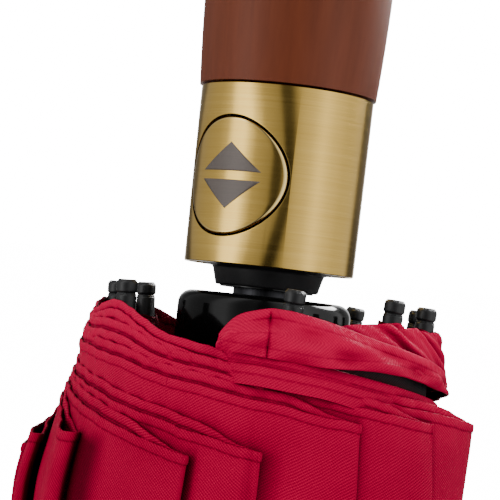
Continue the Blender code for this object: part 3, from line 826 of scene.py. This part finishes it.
# Top edge of a dark sheet of painted shade inside the flaps, behind the gaps where the bundle's inside shows.
SHADOW_SHEET_TOP = ((8, 109.3), (30, 109.3), (60, 109.5), (90, 111.0), (125, 112.5))


def line_at(line, bearing):
    """A smooth curve through (bearing, height) points."""
    at, height = np.array(line, float).T
    fine = np.arange(at[0] - 8, at[-1] + 8, 0.25)
    blur = np.hanning(27)[1:-1] / np.hanning(27).sum()
    soft = np.convolve(np.pad(np.interp(fine, at, height), 12, mode="edge"), blur, "valid")
    return np.interp(bearing, fine, soft)


def signed(bearing):
    """A bearing between -180 and 180 degrees."""
    return (bearing + 180) % 360 - 180


def on_cylinder(r, bearing, height):
    """Points at a distance from the shaft, from arrays that broadcast together."""
    angle = np.radians(270.0 - bearing)
    spots = np.broadcast_arrays(r * np.cos(angle), r * np.sin(angle), height)
    return np.stack(spots, axis=-1)


def hem_floor(bearing):
    """The lowest height the cloth reaches at a bearing: near the tips, and higher between them."""
    gap = np.min([np.abs(signed(bearing - tip)) for tip in TIP_BEARINGS], axis=0)
    low = 102.4 + 5.2 * np.clip(gap / 30.0, 0, 1) ** 1.3
    turn = signed(bearing)
    under_lap = ease((turn + 22) / 14.0) * ease((118 - turn) / 20.0)
    return np.maximum(low, low + (line_at(BAND_TOP, turn) + 0.5 - low) * under_lap)


def flap_start(i):
    """Bearing where flap i begins, under the others, where its hem comes down to the tips."""
    flap = FLAPS[i % len(FLAPS)]
    reach = 260.0 if flap.climb > STEEP else min(285.0, (flap.corner - 103.0) / flap.climb)
    return flap.stop + 360.0 * (i // len(FLAPS)) - reach


def layers_under(i, bearing):
    """How many flaps lie under flap i at a bearing, growing smoothly as each one starts."""
    starts = (flap_start(deeper) for deeper in range(i + 1, i + len(FLAPS)))
    return sum(ease((bearing - start) / 34.0) for start in starts)


def ripple(seed, along, height, scale):
    """Smooth seeded waves over the wrapped cloth."""
    dice = np.random.default_rng(seed)
    total = 0.0
    for _ in range(5):
        k_along = dice.uniform(0.6, 2.4) / scale
        k_height = dice.uniform(-0.5, 0.5) / scale
        total = total + np.sin(k_along * along + k_height * height + dice.uniform(0, 6.28))
    return total / 5


def wrap_radius(i, bearing, height):
    """Distance of flap i's inner layer from the shaft."""
    open_up = ease((height - 113.0) / 25.0)
    bundle = WRAP_R + 0.9 * ease((height - 101.0) / 12.0) + 0.4 * open_up
    bundle -= 2.6 * ease((height - 215.0) / 50.0)
    pitch = 0.45 + 0.62 * open_up - 0.30 * ease((height - 200.0) / 60.0)
    folds = ripple(5, bearing % 360, height, 14.0) * 1.3 * open_up
    sway = ripple(70 + i, bearing, height, 9.0) * 0.25 * (0.4 + open_up)
    return bundle + pitch * layers_under(i, bearing) + folds + sway


def flap_columns(i):
    """The path of a flap seen from its end: out under, round the fold and back over.

    Returns arrays of bearing, distance back from the fold in degrees, side (0 under, 1 over, between
    them in the fold) and the fold's own sideways reach.
    """
    stop, start = FLAPS[i].stop, flap_start(i)
    count = int((stop - start) / degrees(COLUMN / 32.0))
    out = np.linspace(start, stop, count)
    turn = np.linspace(-pi / 2, pi / 2, 13)[1:-1]
    bearing = np.concatenate((out, np.full(len(turn), stop), out[::-1]))
    side = np.concatenate((np.zeros(count), (1 + np.sin(turn)) / 2, np.ones(count)))
    reach = np.concatenate((np.zeros(count), np.cos(turn), np.zeros(count)))
    return bearing, stop - bearing, side, reach


def flap_point(i, bearing, back, side, reach, height):
    """Points of a flap at given heights: arrays that broadcast together."""
    flap = FLAPS[i]
    opening = 0.34 + (flap.loop - 0.34) * np.exp(-((back / 9.0) ** 2))
    opening = opening * (1 + 0.5 * ease((height - flap.corner - 12) / 40.0))
    r = wrap_radius(i, bearing, height) + opening * side
    swing = np.exp(-((back / 26.0) ** 2)) * ease((height - flap.corner + 9.8) / 10.0)
    fade = 0.25 * ease((height - 118.0) / 18.0) + 0.5 * ease((height - 190.0) / 70.0)
    r = r + flap.flare * swing * (1 - fade)
    turned = bearing + np.degrees(reach * opening / 2 / r) - TWIST * ease((height - 128.0) / 190.0)
    over, roll = np.maximum(height - CLOTH_TOP, 0.0), 6.5  # the top end rolls in over the crown
    bend = np.minimum(over / roll, 2.4)
    z = np.where(over > 0, CLOTH_TOP + roll * np.sin(bend), height)
    return on_cylinder(r - np.where(over > 0, roll * (1 - np.cos(bend)), 0.0), turned, z)


def hem_height(i, bearing, back, side):
    """Height of the hem: the under layer peeps out below the over layer."""
    peep = 1.95 * ease(back / 22.0)
    droop = 0.25 * ripple(90 + i, bearing, 0.0, 5.0) + 0.10 * ripple(60 + i, bearing, 0.0, 1.3)
    fall = FLAPS[i].climb * back
    if FLAPS[i].climb > STEEP:
        fall = FLAPS[i].climb * np.minimum(back, 28.0) + 0.07 * np.maximum(back - 28.0, 0.0)
    line = FLAPS[i].corner - fall - peep * (1 - side) + droop * ease(back / 6.0)
    dip = 3.0 * exp(-0.7 * (len(FLAPS) - 1 - i))
    line = line - dip * np.exp(-(((signed(bearing) + 54) / 16.0) ** 2))
    floor = hem_floor(bearing)
    return floor + np.logaddexp(0.0, (line - floor) / 0.9) * 0.9


def cloth_grid(centre, away, along, puff=0.25, tuck=0.0):
    """A closed double skin round a grid of points, thickened into a rolled hem at its first row.

    The last argument is the painted shadow cast by a fold above it. Returns points, faces, and along, away and
    that painted shadow by point.
    tuck is the shade of a fold above it. Returns points, faces, and along, away and tuck by point.
    """
    normal = np.cross(np.gradient(centre, axis=0), np.gradient(centre, axis=1))
    normal /= np.maximum(np.linalg.norm(normal, axis=-1, keepdims=True), 1e-9)
    roll = np.clip(away / HEM_WIDTH, 0, 1)
    bead = puff * np.clip(1 - np.abs(2 * roll - 1) ** 3, 0, 1) ** 0.45 * (roll < 1)
    dips = 0.5 + 0.5 * np.cos(2 * pi * along / STITCH_PITCH)
    pucker = 1 - 0.28 * dips * np.exp(-(((away - HEM_WIDTH) / 0.9) ** 2))
    half = ((THREAD + bead) * pucker)[..., None]
    cols, rows = away.shape
    base = cols * rows
    index = np.arange(base).reshape(cols, rows)
    faces = [quads(cols, rows), quads(cols, rows, flip=True) + base]
    for rim in (index[:, 0], index[::-1, -1], index[-1, :], index[0, ::-1]):
        faces.append(np.stack((rim[1:], rim[:-1], rim[:-1] + base, rim[1:] + base), axis=-1))
    spots = np.stack((along, away, np.broadcast_to(tuck, away.shape)), axis=-1).reshape(-1, 3)
    skins = (centre + normal * half).reshape(-1, 3), (centre - normal * half).reshape(-1, 3)
    return np.vstack(skins), np.vstack(faces), np.vstack((spots, spots))


def hem_rows(depth, body_rows):
    """Distances from the hem: close together over the rolled edge, then wider and wider."""
    rest = (depth - HEM_ROWS[-1]) * np.linspace(0, 1, body_rows + 1)[1:] ** 1.25
    return np.concatenate((HEM_ROWS, HEM_ROWS[-1] + rest))[None, :]


def flap_grids(i):
    """The meshes of one flap: its hem all the way round, and its body where it shows."""
    bearing, back, side, _ = path = flap_columns(i)
    hem = hem_height(i, bearing, back, side)
    above = FLAPS[i - 1]
    previous = above.stop - (360.0 if i == 0 else 0.0)
    edges = np.flatnonzero((side > 0) & (back < FLAPS[i].stop - previous + 30.0))
    steps = np.concatenate(([0.0], np.cumsum(np.full(len(bearing) - 1, COLUMN))))
    whole, hem_end = 1000.0, HEM_ROWS[-1]
    first, last = edges[0], edges[-1]
    parts = ((0, first + 1, 5.0, 3), (first, last + 1, whole, 46), (last, len(bearing), 6.5, 4))
    for first, last, depth, body_rows in parts:
        if last - first < 3:
            continue
        keep = slice(first, last)
        away = np.repeat(hem_rows(depth, body_rows), last - first, axis=0)
        if depth == whole:
            full = CLOTH_TOP + 14.0 - hem[keep, None]
            share = (away - hem_end) / (whole - hem_end)
            away = np.where(away <= hem_end, away, hem_end + share * (full - hem_end))
        height = hem[keep, None] + away
        centre = flap_point(i, *(v[keep, None] for v in path), height)
        along = np.repeat(steps[keep, None], away.shape[1], axis=1)
        centre = centre + hem_waves(i, along, away, centre)
        # Painted shadow: the outer side of the cloth just past the fold of the flap above is darkened, as deep and
        # as wide as that flap's shade says.
        past = (bearing[keep, None] - previous) * MM_PER_DEGREE
        tuck = above.shade * (1 - ease((past / above.shade_width - 0.55) / 0.5)) * (past > 0)
        tuck = tuck * (side[keep, None] > 0) * ease((height - above.corner + 1.5) / 3.0)
        yield cloth_grid(centre, away, along, tuck=tuck)


def hem_waves(i, along, away, centre):
    """Small waves that stand out from the bundle near a stitched hem."""
    out = centre * np.array([1.0, 1.0, 0.0])
    out /= np.linalg.norm(out, axis=-1, keepdims=True)
    wave = 0.16 * np.sin(along * 1.35 + i + 0.5 * np.sin(along * 0.31)) * np.exp(-away / 3.0)
    wave += 0.07 * np.sin(along * 2.9 + 2 * i) * np.exp(-away / 1.6)
    return out * wave[..., None]


def band_grid(top_line, foot_line, radius, start, puff=0.2, plain=None):
    """A strip of cloth with a sewn hem along its top edge and, where it has one, its foot.

    radius gives its distance from the shaft by bearing, height, distance down from its top edge and
    whole depth; plain gives 1 where an edge isn't sewn.
    """
    bearing = np.linspace(start, CLOTH_END, 300)[:, None]
    top = line_at(top_line, bearing)
    foot = top + 3.3 + 3.4 * ease((bearing - 24.0) / 40.0)
    if foot_line:
        foot = line_at(foot_line, bearing)
    depth = foot - top
    reach = np.minimum(HEM_ROWS, depth * 0.45)
    last = reach[:, -1:]
    if foot_line:
        inner = last + (depth - 2 * last) * np.linspace(0, 1, 18)[1:-1]
        down = np.hstack((reach, inner, depth - reach[:, ::-1]))
        away = np.minimum(down, depth - down)
    else:
        down = away = np.hstack((reach, last + (depth - last) * np.linspace(0, 1, 8)[1:]))
    centre = on_cylinder(radius(bearing, top + down, down, depth), bearing, top + down)
    along = np.linspace(0, (CLOTH_END - start) * MM_PER_DEGREE, len(bearing))[:, None]
    points, faces, spots = cloth_grid(centre, away, np.repeat(along, away.shape[1], axis=1), puff)
    if plain:
        spots[:, 1] += np.tile((3.0 * plain(bearing, down, depth) + 0 * away).reshape(-1), 2)
    return points, faces, spots


def lap_radius(turn, height, down, depth):
    """The lap bellies out between its hems, puckers at its seam and lifts off at its foot."""
    r = 29.6 + 2.9 * ease((height - 101.0) / 8.0)
    r = r + 0.8 * np.sin(pi * down / depth) * (0.6 + 0.4 * np.sin(np.radians(turn * 4.1)))
    r = r + 0.8 * np.exp(-(((turn + 9.5) / 4.0) ** 2)) * ease((height - 103.0) / 4.0)
    r = r + 0.50 * np.sin(np.radians(turn * 9.0) - down * 1.15) * ease(down / 2.5)
    r = r + 0.26 * np.sin(np.radians(turn * 19.0) + down * 1.6 + 1.0) * ease(down / 2.5)
    r = r - 0.5 * np.exp(-(((turn - 2.2) / 0.5) ** 2)) * ease(down / 1.2)
    return r + 0.3 * ease((turn - 15) / 20.0) * ease((down - depth + 2.5) / 2.5)


def lap_plain(turn, down, depth):
    """The lap's top edge is only folded over to the left of its seam."""
    return ease((6.0 - turn) / 4.0) * (down < depth / 2)


def band_radius(turn, _height, down, _depth):
    r = 29.4 + 2.0 * ease((turn + 15.0) / 15.0) + 0.4 * ease(down / 3.0)
    return r + 0.25 * np.sin(np.radians(turn * 6.0))


def second_radius(turn, height, down, depth):
    return band_radius(turn, height, down, depth) + 0.28 + 0.12 * np.sin(np.radians(turn * 11.0) + 1.0)


def shoulder_radius(turn, _height, down, _depth):
    """Cloth that spreads from the right-hand tips, creased from tip to hem."""
    fuller = 1.7 * ease((turn - 70.0) / 22.0)
    r = 28.9 + fuller + (3.1 - fuller) * np.sin(np.clip(down / 7.5, 0, 1) * pi / 2)
    crease = np.sin(np.radians(turn * 26.0) - down * 1.5)
    crease = crease + 0.6 * np.sin(np.radians(turn * 41.0) - down * 2.2 + 1.0)
    return r + 0.48 * crease * ease((down + 0.8) / 2.0)


def shadow_sheet_radius(turn, _height, _down, _depth):
    return 29.5 + 0.2 * np.sin(np.radians(turn * 15.0))


def folded_grids():
    """Every sheet of the folded canopy, with its look."""
    for i in range(len(FLAPS)):
        for grid in flap_grids(i):
            yield "cloth_b" if i in (5, 6) else "cloth_a", grid
    yield "cloth_b", band_grid(LAP_TOP, LAP_FOOT, lap_radius, -11.6, plain=lap_plain)
    yield "cloth_a", band_grid(BAND_TOP, None, band_radius, -13.5, 0.25)
    yield "cloth_a", band_grid(SECOND_TOP, None, second_radius, -14.5, 0.25)
    yield "cloth_a", band_grid(SHOULDER_TOP, SHOULDER_FOOT, shoulder_radius, 19.0, 0.05, lambda *_: 1.0)
    # A dark sheet of painted shade, where the dark inside of the bundle shows between the flaps.
    yield "shadow_sheet", band_grid(SHADOW_SHEET_TOP, None, shadow_sheet_radius, 19.0, 0.05, lambda *_: 1.0)


def rib_of_faces(points, faces):
    """Which rib each face belongs to: 1 for the first."""
    centre = points[faces].mean(1)
    angle = np.arctan2(centre[:, 1], centre[:, 0]) - rib_azimuth(1)
    return np.round(angle / (2 * pi / len(RIBS))).astype(int) % len(RIBS) + 1


FOLDED_LOOKS = ("cloth_a", "cloth_b", "shadow_sheet")


def make_folded_canopy():
    """The wrapped cloth, cut between the ribs so that each share rides on its own tip rib."""
    grids = [(look, grid, rib_of_faces(*grid[:2])) for look, grid in folded_grids()]
    for k in RIBS:
        points, faces, spots, looks = [], [], [], []
        for look, (grid_points, grid_faces, grid_spots), owner in grids:
            used, compact = np.unique(grid_faces[owner == k], return_inverse=True)
            faces.append(compact.reshape(-1, 4) + sum(len(p) for p in points))
            points.append(grid_points[used])
            spots.append(grid_spots[used])
            looks.append(np.full(len(faces[-1]), FOLDED_LOOKS.index(look)))
        points, faces, spots = np.vstack(points), np.vstack(faces), np.vstack(spots)
        piece = mesh_object(f"folded_cloth_{k}", points, faces, "cloth_a", 70)
        for look in FOLDED_LOOKS[1:]:
            piece.data.materials.append(LOOKS[look])
        piece.data.polygons.foreach_set("material_index", np.concatenate(looks))
        set_uv(piece, spots[:, :2])
        # The second UV map carries the painted fold shadow.
        set_uv(piece, spots[:, 2:] * (1.0, 0.0), "tuck")
        flatten(finished(piece, f"tip_rib_{k}", "canopy_fabric"), k)


def flatten(piece, k):
    """Works out the line and normal along a piece's tip rib, and gives the piece its own mesh; it lays nothing
    flat.
    """
    elbow, axis = joint_place(f"tip_rib_{k}_hinge"), joint_axis(f"tip_rib_{k}_hinge")
    radial = outward(rib_azimuth(k))
    run = radial * (TIP_R - hypot(elbow.x, elbow.y))
    run += upward(tip_line(k)[0].z - elbow.z)
    normal = axis.cross(run).normalized()
    if normal.dot(radial) < 0:
        normal = -normal
    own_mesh(piece)


# ---- open canopy

SEGMENTS = ("top", "middle", "tip")
SEGMENT_JOINTS = ("canopy_open", "middle_rib_1_hinge", "tip_rib_1_hinge")
SHEET_ROWS = (22, 26, 32)
PACKETS = (5.0, 8.0, 8.0)  # how wide each gathered sheet lies beside rib 1
SHEET_LIFT = 2.3  # cloth above the ribs' centre lines
TUCK_UNDER = 2.5  # how far each ring starts under the ring before it
VALLEY = 0.030  # how far the cloth draws in between two ribs, as a share of its radius
SCALLOP = 0.15  # how far the hem curves in between two tips, as a share of the outer segment
SPREAD = radians(179.0)


def open_matrix(at):
    """Where rib 1's segment goes when the canopy is fully open, in millimetres."""
    ratio = {c["joint"]: c["ratio"] for c in frame["record"]["behaviour"]["couplings"]}
    full = radians(JOINTS["canopy_open"]["range_deg"][1])
    total = Matrix.Identity(4)
    for name in SEGMENT_JOINTS[: at + 1]:
        place = Matrix.Translation(joint_place(name))
        turn = Matrix.Rotation(full * ratio.get(name, 1.0), 4, joint_axis(name))
        total = total @ (place @ turn @ place.inverted())
    return total


def open_line(at):
    """The ends of a rib segment's cloth line when open: distance from the shaft and height."""
    radial = outward(rib_azimuth(1))
    spots = [joint_place(name) for name in SEGMENT_JOINTS]
    spots.append(radial * TIP_R + upward(tip_line(1)[0].z + 3.5))
    ends = []
    for spot in spots[at : at + 2]:
        out = radial.dot(spot)
        moved = open_matrix(at) @ Vector((out * radial.x, out * radial.y, spot.z))
        ends.append(Vector((radial.dot(moved), moved.z)))
    return ends


def open_profile():
    """The open canopy's profile over a rib: four (distance, height) points, clear of the ribs."""
    lines = []
    for at in range(len(SEGMENTS)):
        start, end = open_line(at)
        slope = (end - start).normalized()
        lift = Vector((-slope.y, slope.x)) * SHEET_LIFT
        lines.append((start + lift, end + lift, slope))
    spots = [lines[0][0] + lines[0][2] * 2.2]
    for (_, end, before), (start, _, after) in zip(lines, lines[1:]):
        cross, gap = before.cross(after), start - end
        reach = gap.cross(after) / cross if abs(cross) > 0.02 else gap.dot(before) / 2
        spots.append(end + before * reach)
    return [*spots, lines[2][1]]


def make_open_sheet(at, side):
    """Half of one ring of the open canopy, gathered beside rib 1.

    Each point is where the open canopy needs it, carried back by rib 1's own motion and by its share
    of the half turn round the shaft, so that the cloth lies closed up as on the folded umbrella.
    """
    segment, packet, hand = SEGMENTS[at], PACKETS[at], "left" if side > 0 else "right"
    back, azimuth = open_matrix(at).inverted(), rib_azimuth(1)
    inner, outer = open_profile()[at : at + 2]
    if at:
        inner = inner - (outer - inner).normalized() * TUCK_UNDER
    cols, rows = 8 * len(RIBS) + 1, SHEET_ROWS[at]
    points, spots = [], []
    for i in range(cols):
        around = pi * i / (cols - 1)
        draw = abs(sin(around * len(RIBS) / 2))
        for j in range(rows):
            reach = j / (rows - 1)
            if segment == "tip":
                reach *= 1 - SCALLOP * draw**1.5
            r, z = inner + (outer - inner) * reach
            r *= 1 - VALLEY * draw**2 * min(1.0, r / 140.0)
            share = solve_share(around, r, packet)
            wanted = outward(azimuth + side * around) * r + upward(z)
            points.append(back @ (Matrix.Rotation(-side * share * SPREAD, 4, "Z") @ wanted))
            spots.append((around * r, (1 - reach) * 160 + 6))
    faces = quads(cols, rows)
    piece = mesh_object(f"open_{segment}_{hand}", points, faces, "cloth_open", 60)
    set_uv(piece, spots)
    body = f"canopy_{segment}_{hand}"
    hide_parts(body)
    start = upward(mm(200))
    end = start + outward(azimuth + pi / 2) * side * mm(packet)
    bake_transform(piece)


def solve_share(around, r, packet):
    """The share of the half turn whose gathered point lands at the wanted angle."""
    low, high = 0.0, 1.0
    for _ in range(34):
        share = (low + high) / 2
        t = 0.5 - sin(asin(1 - 2 * share) / 3)
        if SPREAD * share + asin(min(1.0, packet * t / r)) < around:
            low = share
        else:
            high = share
    return (low + high) / 2


def make_open_canopy():
    for at in range(len(SEGMENTS)):
        for side in (1, -1):
            make_open_sheet(at, side)


# ---- strap


def make_strap():
    """The unfastened tie strap with its stud, hanging from the hem by its sewn end."""
    low, high = box_mm("tie_strap")
    middle = (low + high) / 2
    azimuth = atan2(middle.y, middle.x)
    out, side = outward(azimuth), outward(azimuth + pi / 2)
    width, strap_r = 14.0, 38.6
    share, across = np.meshgrid(np.linspace(0, 1, 70), np.linspace(-0.5, 0.5, 18), indexing="ij")
    r = strap_r + 1.3 * np.sin(pi * share) + 0.4 * np.sin(7 * share + 4 * across)
    sideways = across * width + 1.5 * np.sin(2.5 * share)
    grid = r[..., None] * out + sideways[..., None] * side
    grid[..., 2] = low.z + (high.z - low.z) * share
    away, along = (0.5 - np.abs(across)) * width, share * 74
    points, faces, spots = cloth_grid(grid, away, along, 0.16)
    strap = mesh_object("strap", points, faces, "strap", 60)
    set_uv(strap, spots[:, :2])
    flatten(finished(strap, "tip_rib_1", "strap_fabric", "tie_strap"), 1)
    outline = rounded([(0.0, 1.5), (4.2, 1.2), (5.0, 0.4), (5.0, 0.0), (0.0, 0.0)], 0.4)
    stud = lathe("strap_stud", outline, "spring", 40, closed=False)
    stud.data.transform(aimed(out * (strap_r + 1.0) + upward(high.z - 9.0), out))
    flatten(finished(stud, "tip_rib_1", "strap_fabric"), 1)


# ---- CAD nodes that stay

NODE_LOOKS = {
    "end_cap": "edge",
    "handle_screw": "spring",
    "handle_core": "matt",
    "latch_lever": "steel",
    "drive_spring": "spring",
    "pull_cord": "cord",
    "cord_pulley": "matt",
    "crown": "matt",
    "crown_ring": "spring",
    "runner": "satin",
    "runner_ring": "spring",
}
RIB_PARTS = ("top_rib", "middle_rib", "strut_")


def dress_cad_nodes():
    """Gives the listed CAD nodes that stay in view their own finish, and the rib parts softened edges."""
    for name, node in NODES.items():
        look = NODE_LOOKS.get(name)
        if name.startswith(RIB_PARTS):
            look = "rib"
            edge = node.modifiers.new("edge", "BEVEL")
            edge.width, edge.segments, edge.limit_method = mm(0.12), 1, "ANGLE"
        if name.startswith("tip_rib"):
            look = "satin"
        if look:
            node.data.materials.clear()
            node.data.materials.append(LOOKS[look])


# ---- stage, light and camera

EYE_DISTANCE = 338.0
EYE_HEIGHT = 103.4
LEAN = radians(6.34)
FOCAL_LENGTH = 138.7  # on a 36 mm wide sensor
AIM_ACROSS, AIM_UP = -0.0069553, 0.0342572  # the picture's centre, off the level line of sight

# The studio by bearing: (degrees, brightness) of bright panels and dark cards.
PANELS = ((-180, 0.35), (-164, 0.30), (-156, 0.03), (-138, 0.03), (-130, 0.13), (-92, 0.19))
PANELS += ((-78, 0.29), (-68, 0.85), (-52, 0.95), (-43, 0.46), (-34, 0.20), (-12, 0.12), (-8, 0.01))
PANELS += ((4, 0.01), (9, 0.08), (20, 0.26), (38, 0.36), (54, 0.58), (70, 0.41), (92, 0.29))
PANELS += ((122, 0.27), (132, 0.03), (156, 0.03), (164, 0.30), (180, 0.35))
PANEL_POWER = 3.3
CAMERA_WHITE = 16.0
CARD_SPOT, CARD_SIZE, CARD_POWER = (-75.0, 85.0, 0.0), 62.0, 30.0


def make_camera():
    """A close camera that sees the umbrella hanging upside down, handle at the top and leaning."""
    right = Vector((-cos(LEAN), 0, -sin(LEAN)))
    up = Vector((sin(LEAN), 0, -cos(LEAN)))
    look = (Vector((0, 1, 0)) + right * AIM_ACROSS + up * AIM_UP).normalized()
    right = look.cross(up).normalized()
    up = right.cross(look)
    data = bpy.data.cameras.new("camera")
    data.lens, data.sensor_width = FOCAL_LENGTH, 36.0
    data.clip_start, data.clip_end = 0.01, 20.0
    camera = linked("camera", data)
    turn = Matrix((right, up, -look)).transposed().to_4x4()
    camera.matrix_world = Matrix.Translation((0, mm(-EYE_DISTANCE), mm(EYE_HEIGHT))) @ turn
    bpy.context.scene.camera = camera


def bearing_light(n, spot):
    """The studio's brightness by the bearing of a spot, and the spot's height."""
    x, y, height = n.split(spot)
    share = n.ramp(n.math("ARCTAN2", x * -1.0, y * -1.0), (-pi, 0.0), (pi, 1.0))
    ramp = n.node("ValToRGB", {0: share})
    stops = ramp.color_ramp.elements
    while len(stops) < len(PANELS):
        stops.new(0.5)
    for stop, (angle, value) in zip(stops, PANELS):
        stop.position = (angle + 180) / 360
        stop.color = (value, value, value, 1.0)
    return Value(n, ramp.outputs[0]), height


def near_card(n):
    """1 inside a round white card that lies behind the handle, 0 outside it."""
    spot = tuple(mm(v) for v in CARD_SPOT)
    away = n.out("VectorMath", {0: n.place(), 1: spot}, "Value", operation="DISTANCE")
    return n.ramp(away, (mm(CARD_SIZE) * 0.8, 1.0), (mm(CARD_SIZE), 0.0))


def make_floor():
    """A pale floor, white to the camera and a dark mirror of the studio to the shiny pieces."""
    size = 4.0
    mesh = bpy.data.meshes.new("floor")
    corners = [(-size, -size, 0), (size, -size, 0), (size, size, 0), (-size, size, 0)]
    mesh.from_pydata(corners, [], [(0, 1, 2, 3)])
    floor = linked("floor", mesh)
    n = Finish("floor_paper")
    seen = n.out("LightPath", output="Is Camera Ray")
    diffuse = n.out("LightPath", output="Is Diffuse Ray")
    glossy = n.out("LightPath", output="Is Glossy Ray")
    pale = n.mix(n.noise(3.0), (0.84, 0.84, 0.84), (0.90, 0.90, 0.90))
    n.set(Base_Color=n.mix(glossy, pale, (0.06, 0.06, 0.06)), Roughness=0.85)
    mirror = glossy * bearing_light(n, n.place())[0] * (PANEL_POWER * 0.9)
    card = glossy * near_card(n) * CARD_POWER
    power = seen * CAMERA_WHITE + diffuse * 0.7 + (mirror + card)
    n.set(Emission_Color=(1.0, 1.0, 1.0), Emission_Strength=power)
    mesh.materials.append(n.material)
    floor.location.z = -0.0002


def make_world():
    """White to the camera; to everything else, a studio of bright panels and dark cards."""
    world = bpy.data.worlds.new("studio")
    bpy.context.scene.world = world
    world.use_nodes = True
    n = Nodes(world.node_tree)
    colour, strength = n.tree.nodes["Background"].inputs[:2]
    light, height = bearing_light(n, n.out("TexCoord", output="Generated"))
    seen = n.out("LightPath", output="Is Camera Ray")
    n.feed(colour, n.mix(seen, light, (1, 1, 1)))
    power = n.ramp(seen, (0.0, PANEL_POWER), (1.0, CAMERA_WHITE))
    n.feed(strength, power * n.ramp(height, (0.3, 1.0), (0.8, 0.5)))


def softbox(name, place, size):
    """A soft lamp that faces the umbrella and shows in no reflection."""
    data = bpy.data.lights.new(name, "AREA")
    data.shape, data.size, data.size_y, data.energy = "RECTANGLE", *size, 4.0
    light = linked(name, data)
    light.location = place
    light.rotation_euler = (upward(0.11) - Vector(place)).to_track_quat("-Z", "Y").to_euler()
    light.visible_glossy = False


def make_lamps():
    softbox("left", (0.75, -0.60, 0.04), (0.35, 0.3))
    softbox("right", (-0.75, -0.60, 0.04), (0.35, 0.3))
    softbox("rim", (0.2, 0.8, 0.5), (0.6, 0.6))


HANDLE = (make_grip, make_collar, make_button, make_button_coil, make_neck)
SHAFT = (make_tubes, make_cup, make_ferrule, make_rosette, make_crown_cloth, make_rivets, make_tips)
CLOTH = (make_folded_canopy, make_open_canopy, make_strap)
for make in (*HANDLE, *SHAFT, *CLOTH, dress_cad_nodes, make_floor, make_world, make_lamps, make_camera):
    make()
